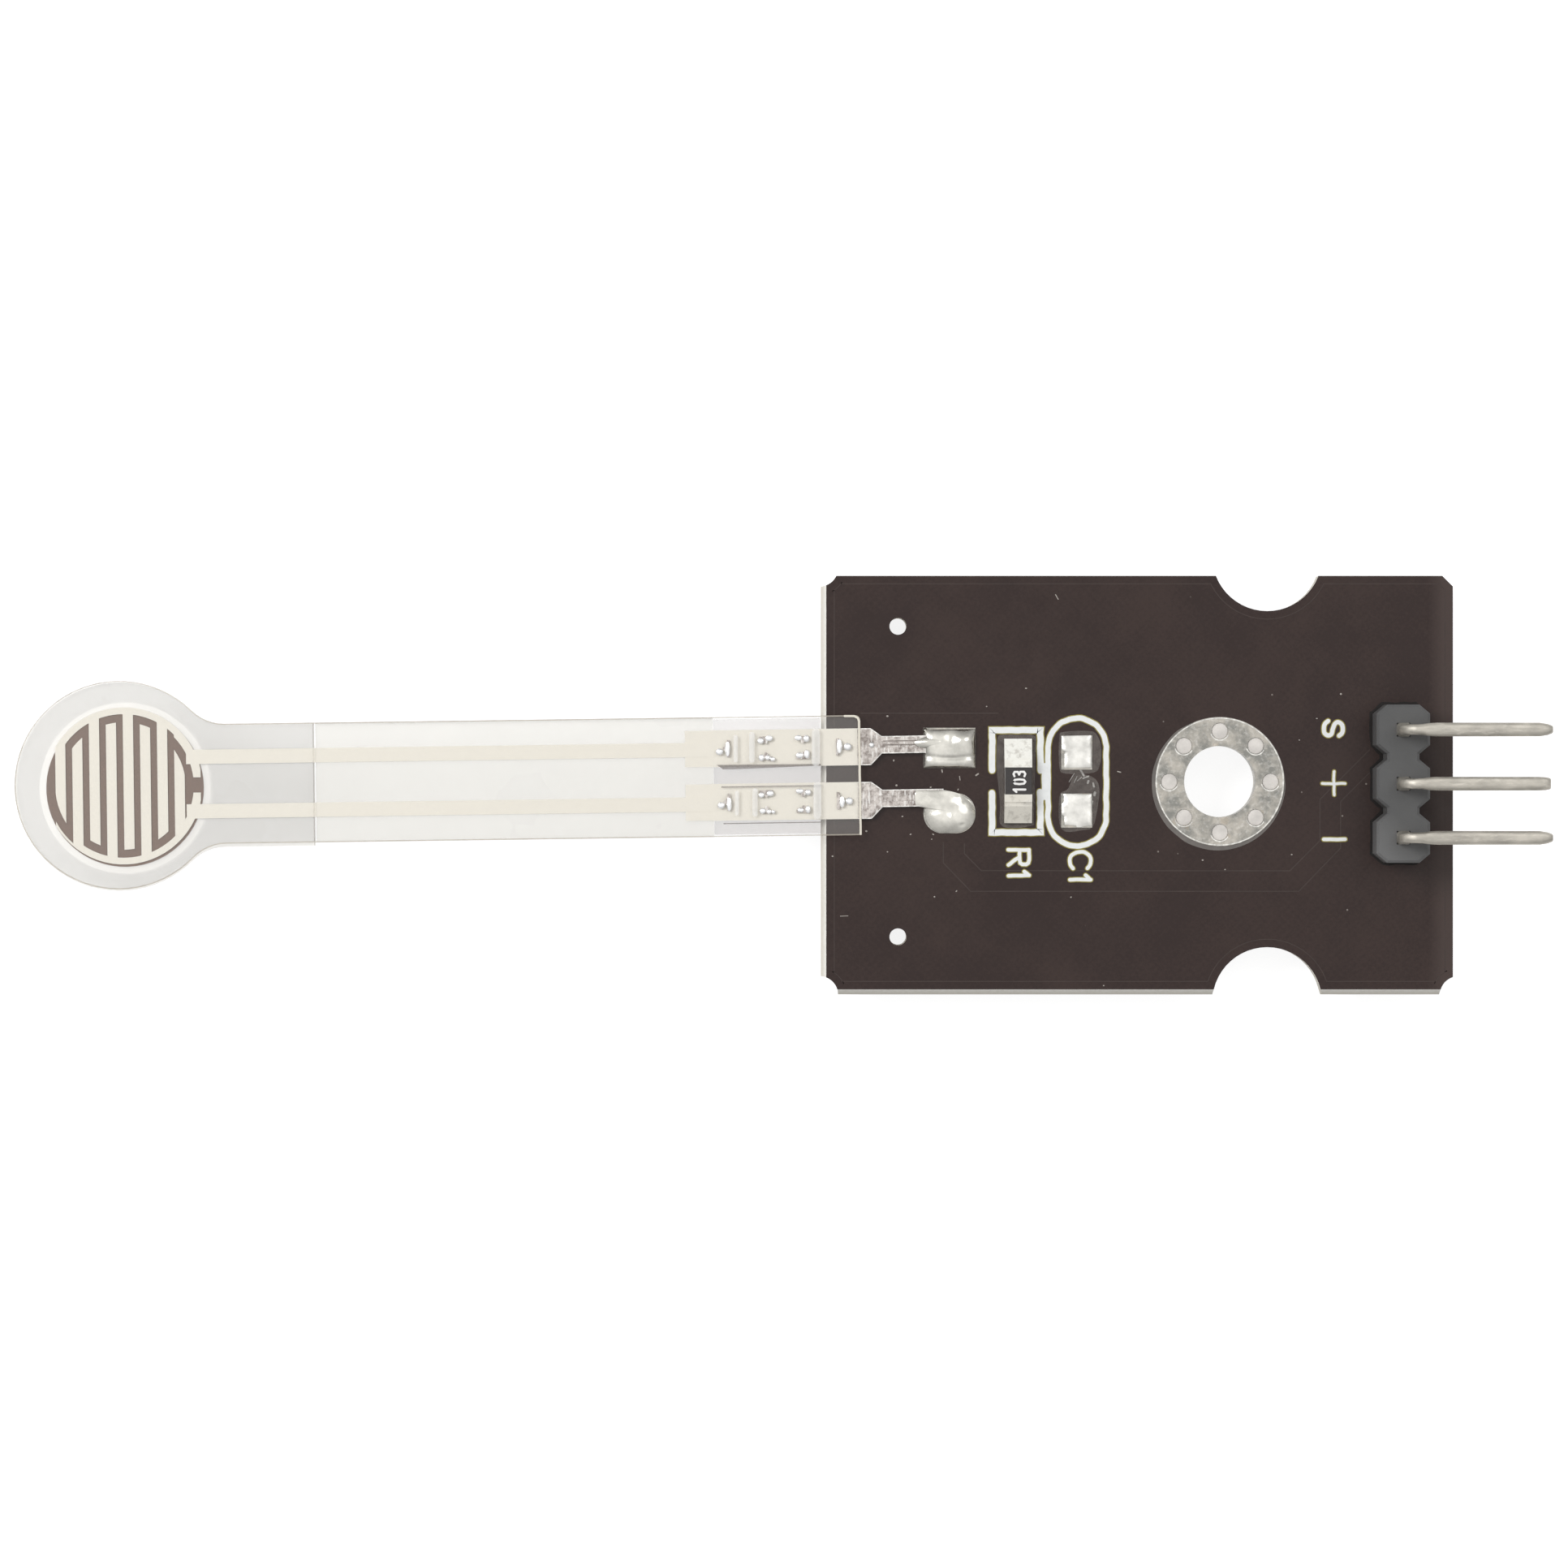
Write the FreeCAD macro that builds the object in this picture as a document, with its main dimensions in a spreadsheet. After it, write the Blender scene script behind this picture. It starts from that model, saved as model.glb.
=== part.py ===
import FreeCAD, Part
import math
import os
import re
import Sketcher

# Thin-film pressure sensor on a small circuit board, in millimetres.
# The origin is the centre of the mounting hole on the underside of the board. +X runs towards
# the header pins, +Y is across the board and +Z is up, out of the component side.

SIZES = [
    # Circuit board, measured from the mounting hole
    ("board_left", 18.9),
    ("board_right", 11.05),
    ("board_top", 9.75),
    ("board_bottom", 10.1),
    ("board_thickness", 1.6),
    ("score_width", 0.25),
    ("score_depth", 0.5),
    ("cut_corner", 0.5),
    ("corner_hole_radius", 0.87),
    ("corner_hole_out", 0.06),
    ("corner_hole_up", 0.37),
    ("right_hole_out", 0.26),
    ("notch_radius", 2.6),
    ("notch_x", 2.25),
    ("notch_outside", 0.93),
    ("lower_notch_outside", 0.35),
    ("tooling_radius", 0.4),
    ("tooling_x", 15.25),
    ("tooling_y", 7.36),
    ("copper", 0.035),
    # Plated mounting hole with its ring of vias
    ("bore_radius", 1.69),
    ("plating", 0.03),
    ("ring_radius", 3.06),
    ("via_count", 8),
    ("via_circle", 2.4),
    ("via_radius", 0.4),
    # Solder lands for the two sensor terminals
    ("sensor_land_x", 12.81),
    ("sensor_land_y", 0.05),
    ("sensor_land_pitch", 3.1),
    ("sensor_land_length", 2.46),
    ("sensor_land_width", 1.9),
    ("lower_land_flat", 0.05),
    ("mound_height", 0.5),
    ("mound_slope", 38),
    # Chip resistor and the empty capacitor footprint
    ("chip_x", 9.56),
    ("chip_y", 0.03),
    ("chip_width", 1.25),
    ("chip_length", 2.0),
    ("chip_height", 0.5),
    ("cap_length", 0.36),
    ("cap_wall", 0.03),
    ("chip_land_reach", 1.0),
    ("chip_land_gap", 1.2),
    ("chip_solder_height", 0.4),
    ("chip_solder_top", 0.2),
    ("chip_solder_foot", 0.12),
    ("capacitor_x", 6.78),
    ("capacitor_land_width", 1.47),
    ("capacitor_land_length", 1.62),
    ("capacitor_land_gap", 1.13),
    ("tinning", 0.09),
    ("tinning_slope", 45),
    # Three-way pin header
    ("header_x", 8.5),
    ("header_y", 0.1),
    ("pitch", 2.54),
    ("positions", 3),
    ("housing_width", 2.52),
    ("housing_length", 7.45),
    ("housing_height", 2.5),
    ("housing_notch", 0.5),
    ("housing_flat", 0.26),
    ("housing_chamfer", 0.42),
    ("housing_edge", 0.12),
    ("pin_size", 0.64),
    ("pin_centre_height", 5.3),
    ("bend_radius", 0.8),
    ("pin_reach", 6.9),
    ("middle_pin_short", 0.1),
    ("pin_taper", 0.6),
    ("pin_tip", 0.36),
    ("tail_length", 1.3),
    ("tail_taper", 0.25),
    ("header_bore", 0.5),
    ("header_land", 0.85),
    ("joint_height", 0.95),
    ("joint_tip", 0.47),
    # Thin-film sensor, measured from the centre of its round head
    ("sensor_x", 52.14),
    ("sensor_y", 0.17),
    ("sensor_turn", 0.78),
    ("head_margin", 1.22),
    ("tail_width", 5.68),
    ("film_end", 35.14),
    ("neck_radius", 2.2),
    ("end_corner", 0.25),
    ("film", 0.12),
    ("main_film_base", 1.88),
    ("head_film_end", 9.27),
    ("head_film_drop", 0.07),
    ("head_film_extra", 0.16),
    ("film_gap", 0.05),
    ("tail_cover", 0.14),
    ("tail_cover_end", 28.15),
    ("silver", 0.02),
    ("ink", 0.03),
    ("spacer", 0.06),
    ("spacer_inset", 0.06),
    ("spacer_clearance", 0.33),
    ("ink_margin", 0.01),
    ("ink_x", 0.28),
    ("ink_drop", 0.14),
    # Interleaved silver combs
    ("comb_x", 0.22),
    ("comb_drop", 0.04),
    ("comb_radius", 3.72),
    ("comb_rim", 0.32),
    ("comb_left_rim", 0.1),
    ("comb_right_rim", 0.4),
    ("comb_shift", 0.165),
    ("gap_width", 0.32),
    ("finger_width", 0.485),
    ("cap_thickness", 0.38),
    ("exit_height", 0.72),
    ("exit_trim", 0.07),
    ("trace_y", 1.29),
    ("trace_width", 0.68),
    # Crimp terminals
    ("terminal_pitch", 2.54),
    ("terminal_rise", 0.07),
    ("terminal_thickness", 0.2),
    ("strip_start", 28.2),
    ("strip_width", 1.75),
    ("shoulder_end", 35.62),
    ("neck_start", 36.15),
    ("neck_width", 0.82),
    ("neck_rise", 0.08),
    ("neck_end", 39.7),
    ("neck_groove_width", 0.27),
    ("neck_groove_depth", 0.07),
    ("neck_groove_end", 37.9),
    ("pad_margin", 0.15),
    # Prongs that pierce the film and curl over it
    ("prong_thickness", 0.1),
    ("prong_rise", 0.06),
    ("prong_curl", 0.11),
    ("prong_tip_width", 0.08),
    ("prong_tip_length", 0.16),
    ("slit_clearance", 0.02),
    ("lance_width", 0.78),
    ("left_lance", 0.68),
    ("right_lance", 5.85),
    ("side_prong_width", 0.62),
    ("side_prong_spread", 0.95),
    ("first_side_prong", 2.45),
    ("second_side_prong", 4.2),
    # Ribs pressed up across the film over each terminal
    ("rib_width", 0.28),
    ("rib_length", 0.95),
    ("rib_height", 0.06),
    ("first_rib", 1.12),
    ("second_rib", 1.92),
    ("third_rib", 4.85),
]

doc = FreeCAD.newDocument("PressureSensor")
sheet = doc.addObject("Spreadsheet::Sheet", "Sizes")
for row, (alias, value) in enumerate(SIZES, start=1):
    sheet.set("A%d" % row, alias)
    sheet.set("B%d" % row, str(value))
    sheet.setAlias("B%d" % row, alias)
doc.recompute()

ALIASES = {alias for alias, value in SIZES}
PARTS = []


# Expressions, written with the plain names of the sizes


def expression(text):
    """The text with each size's name turned into a reference to its cell."""

    def reference(word):
        name = word.group()
        return "Sizes." + name if name in ALIASES else name

    return re.sub(r"[a-z_]+", reference, text)


def number(text):
    """The value of an expression in the sizes."""
    return float(sheet.evalExpression(expression(text)))


def bind(item, **properties):
    """Binds properties of a document object to expressions in the sizes."""
    for name, text in properties.items():
        item.setExpression(name.replace("__", "."), expression(text))
    return item


def place(item, x="0", y="0", z="0"):
    """Binds the position of a document object."""
    return bind(item, Placement__Base__x=x, Placement__Base__y=y, Placement__Base__z=z)


def place_on_sensor(item):
    """Gives a piece of the film sensor the sensor's place and its slight turn on the board."""
    item.Placement = FreeCAD.Placement(FreeCAD.Vector(), FreeCAD.Rotation(FreeCAD.Vector(0, 0, 1), 1))
    place(item, "-sensor_x", "-sensor_y")
    return bind(item, Placement__Rotation__Angle="sensor_turn")


def sub_part(item, name):
    """Names a finished piece and adds it to the list that is written out."""
    item.Label = name
    PARTS.append(item)
    return item


# Pieces made from primitives


def box(name, length, width, height, x, y, z):
    """A box centred in X and Y on a point, standing on height z."""
    item = bind(doc.addObject("Part::Box", name), Length=length, Width=width, Height=height)
    return place(item, "(%s) - (%s) / 2" % (x, length), "(%s) - (%s) / 2" % (y, width), z)


def cylinder(name, radius, height, x, y, z):
    item = bind(doc.addObject("Part::Cylinder", name), Radius=radius, Height=height)
    return place(item, x, y, z)


def cone(name, lower_radius, upper_radius, height, x, y, z):
    item = doc.addObject("Part::Cone", name)
    bind(item, Radius1=lower_radius, Radius2=upper_radius, Height=height)
    return place(item, x, y, z)


def fuse(name, pieces):
    item = doc.addObject("Part::MultiFuse", name)
    item.Shapes = pieces
    return item


def cut(name, base, tool):
    item = doc.addObject("Part::Cut", name)
    item.Base = base
    item.Tool = tool
    return item


def compound(name, pieces):
    item = doc.addObject("Part::Compound", name)
    item.Links = pieces
    return item


# Pieces made from sketches


def sketch(body, name, plane="XY_Plane", offset="0"):
    """A sketch on one of the body's own origin planes, moved along its normal."""
    item = body.newObject("Sketcher::SketchObject", name)
    item.AttachmentSupport = (next(f for f in body.Origin.OriginFeatures if f.Role == plane), [""])
    item.MapMode = "FlatFace"
    return bind(item, AttachmentOffset__Base__z=offset)


def fix_point(item, geometry, position, x, y):
    """Ties a sketch point to two expressions."""
    for direction, text in (("DistanceX", x), ("DistanceY", y)):
        value = number(text)
        index = item.addConstraint(Sketcher.Constraint(direction, -1, 1, geometry, position, value))
        item.setExpression("Constraints[%d]" % index, expression(text))


def polygon(item, corners):
    """A closed outline of straight lines through corners given as expressions."""
    points = [FreeCAD.Vector(number(x), number(y), 0) for x, y in corners]
    count = len(points)
    lines = [Part.LineSegment(points[n], points[(n + 1) % count]) for n in range(count)]
    first = item.GeometryCount
    item.addGeometry(lines, False)
    for n in range(count):
        following = first + (n + 1) % count
        item.addConstraint(Sketcher.Constraint("Coincident", first + n, 2, following, 1))
    for n, (x, y) in enumerate(corners):
        fix_point(item, first + n, 1, x, y)


def rectangle(item, length, width, x="0", y="0"):
    """A rectangle centred on a point."""
    signs = ((-1, -1), (1, -1), (1, 1), (-1, 1))
    polygon(
        item,
        [
            ("(%s) + %d * (%s) / 2" % (x, a, length), "(%s) + %d * (%s) / 2" % (y, b, width))
            for a, b in signs
        ],
    )


def rounded_rectangle(item, length, width, corner, x="0", y="0"):
    """A rectangle with rounded corners, centred on a point."""
    arcs = []
    for n, (a, b) in enumerate(((1, 1), (-1, 1), (-1, -1), (1, -1))):
        centre_x = "(%s) + %d * ((%s) / 2 - %s)" % (x, a, length, corner)
        centre_y = "(%s) + %d * ((%s) / 2 - %s)" % (y, b, width, corner)
        centre = FreeCAD.Vector(number(centre_x), number(centre_y), 0)
        ring = Part.Circle(centre, FreeCAD.Vector(0, 0, 1), number(corner))
        start = math.radians(90 * n)
        arc = item.addGeometry(Part.ArcOfCircle(ring, start, start + math.radians(90)), False)
        fix_point(item, arc, 3, centre_x, centre_y)
        fix_radius(item, arc, corner)
        arcs.append(arc)
    for n, arc in enumerate(arcs):
        following = arcs[(n + 1) % len(arcs)]
        ends = item.Geometry[arc].EndPoint, item.Geometry[following].StartPoint
        line = item.addGeometry(Part.LineSegment(*ends), False)
        item.addConstraint(Sketcher.Constraint("Tangent", arc, 2, line, 1))
        item.addConstraint(Sketcher.Constraint("Tangent", line, 2, following, 1))


def fix_radius(item, geometry, radius):
    """Ties the radius of a circle or an arc to an expression."""
    index = item.addConstraint(Sketcher.Constraint("Radius", geometry, number(radius)))
    item.setExpression("Constraints[%d]" % index, expression(radius))


def circle(item, radius, x="0", y="0"):
    centre = FreeCAD.Vector(number(x), number(y), 0)
    index = item.addGeometry(Part.Circle(centre, FreeCAD.Vector(0, 0, 1), number(radius)), False)
    fix_point(item, index, 3, x, y)
    fix_radius(item, index, radius)


def pad(body, profile, length, reverse=False):
    item = body.newObject("PartDesign::Pad", profile.Name + "_pad")
    item.Profile = profile
    item.Reversed = reverse
    return bind(item, Length=length)


def pocket(body, profile, length=None, reverse=False, symmetric=False):
    """Cuts a profile to a depth, or right through."""
    item = body.newObject("PartDesign::Pocket", profile.Name + "_pocket")
    item.Profile = profile
    item.Reversed = reverse
    item.Midplane = symmetric
    if length is None:
        item.Type = "ThroughAll"
    else:
        bind(item, Length=length)
    return item


def loft(body, name, profile, end):
    item = body.newObject("PartDesign::AdditiveLoft", name)
    item.Profile = profile
    item.Sections = [end]
    return item


def edges(feature, wanted):
    """Names of a feature's edges that meet a test on the edge."""
    return ["Edge%d" % n for n, edge in enumerate(feature.Shape.Edges, start=1) if wanted(edge)]


def upright(edge):
    """True for a straight edge that runs up."""
    ends = [vertex.Point for vertex in edge.Vertexes]
    return len(ends) == 2 and abs(ends[0].x - ends[1].x) + abs(ends[0].y - ends[1].y) < 1e-6


def level_at(height):
    """A test for edges that lie level at a height."""
    return lambda edge: edge.BoundBox.ZLength < 1e-6 and abs(edge.BoundBox.ZMin - height) < 1e-6


def fillet(body, name, feature, wanted, radius, kind="PartDesign::Fillet", size="Radius"):
    """Rounds the edges of a feature that meet a test."""
    doc.recompute()
    item = body.newObject(kind, name)
    item.Base = (feature, edges(feature, wanted))
    return bind(item, **{size: radius})


def chamfer(body, name, feature, wanted, size):
    return fillet(body, name, feature, wanted, size, "PartDesign::Chamfer", "Size")


# Heights that several pieces share

LAND_TOP = "(board_thickness + copper)"
SILVER_BASE = "(main_film_base - silver)"
FILM_TOP = "(main_film_base + film)"
SPACER_BASE = "(main_film_base - silver - spacer)"
STRIP_BASE = "(main_film_base - silver - terminal_thickness)"


def sides():
    """Upper and lower row of the board, as a name and a sign."""
    return (("upper", 1), ("lower", -1))


def header_rows():
    """Y position of each header pin, first pin at the top."""
    count = int(number("positions"))
    return ["-header_y + pitch * %s" % ((count - 1) / 2 - n) for n in range(count)]


def via_centres():
    """Centres of the vias around the mounting hole."""
    count = int(number("via_count"))
    return [
        ("via_circle * cos(%s deg)" % (360 * n / count), "via_circle * sin(%s deg)" % (360 * n / count))
        for n in range(count)
    ]


# Circuit board


def circuit_board():
    body = doc.addObject("PartDesign::Body", "board_body")
    outline = sketch(body, "board_outline")
    polygon(
        outline,
        [
            ("-board_left", "-board_bottom"),
            ("board_right", "-board_bottom"),
            ("board_right", "board_top - cut_corner"),
            ("board_right - cut_corner", "board_top"),
            ("-board_left", "board_top"),
        ],
    )
    pad(body, outline, "board_thickness")

    # Routed notches and the drilled corners
    edge_cuts = sketch(body, "edge_cuts")
    circle(edge_cuts, "notch_radius", "notch_x", "board_top + notch_outside")
    circle(edge_cuts, "notch_radius", "notch_x", "-board_bottom - lower_notch_outside")
    circle(edge_cuts, "corner_hole_radius", "-board_left - corner_hole_out", "board_top + corner_hole_up")
    circle(edge_cuts, "corner_hole_radius", "-board_left - corner_hole_out", "-board_bottom")
    circle(edge_cuts, "corner_hole_radius", "board_right + right_hole_out", "-board_bottom")
    pocket(body, edge_cuts, reverse=True)

    # Drilled holes, with room for the plating that lines them
    drilling = sketch(body, "drilling")
    circle(drilling, "bore_radius + plating")
    for x, y in via_centres():
        circle(drilling, "via_radius + plating", x, y)
    for name, sign in sides():
        circle(drilling, "tooling_radius", "-tooling_x", "%d * tooling_y" % sign)
    for y in header_rows():
        circle(drilling, "header_bore + plating", "header_x", y)
    pocket(body, drilling, reverse=True)

    # V-shaped scores left along the two edges where the board was snapped from its panel
    for name, plane, edge in (
        ("left_score", "XZ_Plane", "board_left"),
        ("bottom_score", "YZ_Plane", "board_bottom"),
    ):
        score = sketch(body, name, plane)
        for face, inwards in (("0", 1), ("board_thickness", -1)):
            polygon(
                score,
                [
                    ("-%s + score_width" % edge, face),
                    ("-%s" % edge, "%s + %d * score_depth" % (face, inwards)),
                    ("-%s - score_width" % edge, "%s + %d * score_depth" % (face, inwards)),
                    ("-%s - score_width" % edge, "%s - %d * score_depth" % (face, inwards)),
                    ("-%s + score_width" % edge, "%s - %d * score_depth" % (face, inwards)),
                ],
            )
        pocket(body, score, symmetric=True)
    return sub_part(body, "circuit_board")


# Copper: plated holes with a land on each face, and flat lands


def plated_bores(name, bores, lands):
    """Lands joined through the board by the plated walls of the bores, as (radius, x, y)."""
    height = "board_thickness + 2 * copper"
    walls = []
    holes = []
    for n, (radius, x, y) in enumerate(bores):
        walls.append(cylinder("%s_wall_%d" % (name, n), radius + " + plating", height, x, y, "-copper"))
        holes.append(cylinder("%s_bore_%d" % (name, n), radius, height, x, y, "-copper"))
    solid = fuse(name + "_copper", lands + walls)
    tool = fuse(name + "_bores", holes) if len(holes) > 1 else holes[0]
    return cut(name, solid, tool)


def land_heights():
    """Base of the land on each face of the board."""
    return (("top", "board_thickness"), ("back", "-copper"))


def mounting_ring():
    lands = [
        cylinder("ring_land_" + face, "ring_radius", "copper", "0", "0", base) for face, base in land_heights()
    ]
    bores = [("bore_radius", "0", "0")] + [("via_radius", x, y) for x, y in via_centres()]
    return sub_part(plated_bores("ring_plating", bores, lands), "mounting_ring")


def sensor_land_row(sign):
    """Y position of the upper or lower sensor land."""
    return "sensor_land_y + %d * sensor_land_pitch / 2" % sign


def land_outline(item, name, sign):
    """The outline of a sensor land: the upper one is a rectangle and the lower one has round ends."""
    place_of_land = ("-sensor_land_x", sensor_land_row(sign))
    if name == "upper":
        rectangle(item, "sensor_land_length", "sensor_land_width", *place_of_land)
    else:
        corner = "(sensor_land_width / 2 - lower_land_flat)"
        rounded_rectangle(item, "sensor_land_length", "sensor_land_width", corner, *place_of_land)


def sensor_pads():
    lands = []
    for name, sign in sides():
        body = doc.addObject("PartDesign::Body", name + "_sensor_land")
        outline = sketch(body, name + "_land_outline", offset="board_thickness")
        land_outline(outline, name, sign)
        pad(body, outline, "copper")
        lands.append(body)
    return sub_part(compound("sensor_lands", lands), "sensor_pads")


def header_lands():
    pads = []
    for n, y in enumerate(header_rows()):
        lands = [
            cylinder("header_land_%d_%s" % (n, face), "header_land", "copper", "header_x", y, base)
            for face, base in land_heights()
        ]
        pads.append(plated_bores("header_plating_%d" % n, [("header_bore", "header_x", y)], lands))
    return sub_part(compound("header_copper", pads), "header_lands")


# Chip resistor and the empty capacitor footprint


def chip_end(sign, reach):
    """Y position that lies a length out from the middle of the chip."""
    return "chip_y + %d * (%s)" % (sign, reach)


def resistor_pads():
    length = "chip_length / 2 + chip_land_reach - chip_land_gap / 2"
    lands = [
        box(
            name + "_chip_land",
            "chip_width + 2 * cap_wall",
            length,
            "copper",
            "-chip_x",
            chip_end(sign, "chip_land_gap / 2 + (%s) / 2" % length),
            "board_thickness",
        )
        for name, sign in sides()
    ]
    return sub_part(compound("chip_lands", lands), "resistor_pads")


def chip_resistor():
    base = LAND_TOP + " + cap_wall"
    length = "chip_length - 2 * cap_wall"
    body = box("chip_body", "chip_width", length, "chip_height", "-chip_x", "chip_y", base)
    sub_part(body, "chip_resistor_body")
    caps = []
    for name, sign in sides():
        sleeve = box(
            name + "_sleeve",
            "chip_width + 2 * cap_wall",
            "cap_length",
            "chip_height + 2 * cap_wall",
            "-chip_x",
            chip_end(sign, "chip_length / 2 - cap_length / 2"),
            LAND_TOP,
        )
        caps.append(cut(name + "_cap", sleeve, body))
    return sub_part(compound("chip_caps", caps), "chip_resistor_end_caps")


def resistor_solder():
    """The sloped solder that runs from each end cap out to the edge of its land."""
    fillets = []
    for name, sign in sides():
        body = doc.addObject("PartDesign::Body", name + "_chip_solder")
        profile = sketch(body, name + "_chip_slope", "YZ_Plane", "-chip_x")
        face = chip_end(sign, "chip_length / 2")
        foot = chip_end(sign, "chip_length / 2 + chip_land_reach")
        polygon(
            profile,
            [
                (face, LAND_TOP),
                (foot, LAND_TOP),
                (foot, LAND_TOP + " + chip_solder_foot"),
                ("%s + %d * chip_solder_top" % (face, sign), LAND_TOP + " + chip_solder_height"),
                (face, LAND_TOP + " + chip_solder_height"),
            ],
        )
        slope = pad(body, profile, "chip_width + 2 * cap_wall")
        slope.Midplane = True
        fillets.append(body)
    return sub_part(compound("chip_joints", fillets), "resistor_solder")


def capacitor_row(sign):
    return "%d * (capacitor_land_gap + capacitor_land_length) / 2" % sign


def capacitor_pads():
    lands = [
        box(
            name + "_capacitor_land",
            "capacitor_land_width",
            "capacitor_land_length",
            "copper",
            "-capacitor_x",
            capacitor_row(sign),
            "board_thickness",
        )
        for name, sign in sides()
    ]
    return sub_part(compound("capacitor_lands", lands), "capacitor_pads")


def capacitor_tinning():
    """The thin coat of solder on each empty land, with sloped sides."""
    coats = []
    for name, sign in sides():
        body = doc.addObject("PartDesign::Body", name + "_tinning")
        outline = sketch(body, name + "_tinning_outline", offset=LAND_TOP)
        rectangle(
            outline, "capacitor_land_width", "capacitor_land_length", "-capacitor_x", capacitor_row(sign)
        )
        coat = pad(body, outline, "tinning")
        bind(coat, TaperAngle="-tinning_slope")
        coats.append(body)
    return sub_part(compound("capacitor_coats", coats), "capacitor_tinning")


# Pin header: one moulded block and three bent pins


def header_housing():
    body = doc.addObject("PartDesign::Body", "housing_body")
    outline = sketch(body, "housing_outline", offset=LAND_TOP)
    count = int(number("positions"))
    side = []
    for n in range(count):
        centre = "-header_y + pitch * %s" % (n - (count - 1) / 2)
        lower = "%s - (pitch - housing_flat) / 2" % centre
        upper = "%s + (pitch - housing_flat) / 2" % centre
        if n == 0:
            lower = "-header_y - housing_length / 2"
        if n == count - 1:
            upper = "-header_y + housing_length / 2"
        side.append(("housing_width / 2 - housing_notch", lower))
        side.append(("housing_width / 2", lower + " + housing_chamfer"))
        side.append(("housing_width / 2", upper + " - housing_chamfer"))
        side.append(("housing_width / 2 - housing_notch", upper))
    right = [("header_x + " + x, y) for x, y in side]
    left = [("header_x - (%s)" % x, y) for x, y in reversed(side)]
    polygon(outline, right + left)
    block = pad(body, outline, "housing_height")
    top = number(LAND_TOP + " + housing_height")
    chamfer(body, "housing_top_edge", block, level_at(top), "housing_edge")
    holes = sketch(body, "pin_holes", offset=LAND_TOP)
    for y in header_rows():
        rectangle(holes, "pin_size", "pin_size", "header_x", y)
    pocket(body, holes, reverse=True)
    return sub_part(body, "header_housing")


def header_pin(name, row, reach):
    """A square pin that stands through the block and bends over towards +X.

    The body's origin is in line with the middle of the bend, so that the bend turns about an axis
    of its own sketch.
    """
    body = place(doc.addObject("PartDesign::Body", name), "header_x + bend_radius", row)
    start = "-tail_length"
    bend_base = "pin_centre_height - bend_radius"

    stem = sketch(body, name + "_stem", offset=start)
    rectangle(stem, "pin_size", "pin_size", "-bend_radius")
    pad(body, stem, "%s + tail_length" % bend_base)

    tail = sketch(body, name + "_tail", offset="%s - tail_taper" % start)
    rectangle(tail, "pin_tip", "pin_tip", "-bend_radius")
    loft(body, name + "_tail_taper", stem, tail)

    bend = sketch(body, name + "_bend", offset=bend_base)
    rectangle(bend, "pin_size", "pin_size", "-bend_radius")
    turn = body.newObject("PartDesign::Revolution", name + "_bend_turn")
    turn.Profile = bend
    turn.ReferenceAxis = (bend, ["V_Axis"])
    turn.Angle = 90

    arm = sketch(body, name + "_arm", "YZ_Plane")
    rectangle(arm, "pin_size", "pin_size", "0", "pin_centre_height")
    pad(body, arm, "%s - pin_taper" % reach)

    root = sketch(body, name + "_taper", "YZ_Plane", "%s - pin_taper" % reach)
    rectangle(root, "pin_size", "pin_size", "0", "pin_centre_height")
    tip = sketch(body, name + "_tip", "YZ_Plane", reach)
    rectangle(tip, "pin_tip", "pin_tip", "0", "pin_centre_height")
    loft(body, name + "_point", root, tip)
    return sub_part(body, name)


def header_pins():
    names = ("header_pin_signal", "header_pin_supply", "header_pin_ground")
    rows = header_rows()
    pins = []
    for n, row in enumerate(rows):
        name = names[n] if n < len(names) else "header_pin_%d" % (n + 1)
        middle = n == len(rows) // 2
        reach = "(pin_reach - bend_radius%s)" % (" - middle_pin_short" if middle else "")
        pins.append(header_pin(name, row, reach))
    return pins


def header_solder(pins):
    """Solder that rises in a cone round the tail of each pin."""
    joints = []
    base = "-copper - joint_height"
    for n, (row, pin) in enumerate(zip(header_rows(), pins)):
        mound = cone("joint_cone_%d" % n, "joint_tip", "header_land", "joint_height", "header_x", row, base)
        joints.append(cut("joint_%d" % n, mound, pin))
    return sub_part(compound("header_joints", joints), "header_solder")


# Films of the sensor


def film_blank(name, base, thickness, inset="0", end="film_end", width="tail_width", drop="0"):
    """The outline of a film: a round head that runs into a straight tail through two fillets."""
    body = place_on_sensor(doc.addObject("PartDesign::Body", name))
    head = sketch(body, name + "_head", offset=base)
    circle(head, "comb_radius + head_margin - (%s)" % inset, "0", "-(%s)" % drop)
    pad(body, head, thickness)
    tail = sketch(body, name + "_tail", offset=base)
    half = "((%s) / 2 - (%s))" % (width, inset)
    low = "-%s - (%s)" % (half, drop)
    high = "%s - (%s)" % (half, drop)
    polygon(tail, [("0", low), (end, low), (end, high), ("0", high)])
    strip = pad(body, tail, thickness)

    reach = number(end)

    def at_neck(edge):
        return upright(edge) and edge.Vertexes[0].Point.x < reach - 1e-3

    neck = fillet(body, name + "_neck", strip, at_neck, "neck_radius + (%s)" % inset)
    return body, neck


def prong_places():
    """Each prong of a terminal: x along the strip, y across it, width and the way its tip curls."""
    places = [
        ("left_lance", "0", "lance_width", 180),
        ("right_lance", "0", "lance_width", 0),
    ]
    for x in ("first_side_prong", "second_side_prong"):
        places.append((x, "side_prong_spread / 2", "side_prong_width", -90))
        places.append((x, "-side_prong_spread / 2", "side_prong_width", 90))
    return places


def terminal_row(sign):
    """Y position of a terminal in the sensor's own frame."""
    return "%d * terminal_pitch / 2 + terminal_rise" % sign


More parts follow.
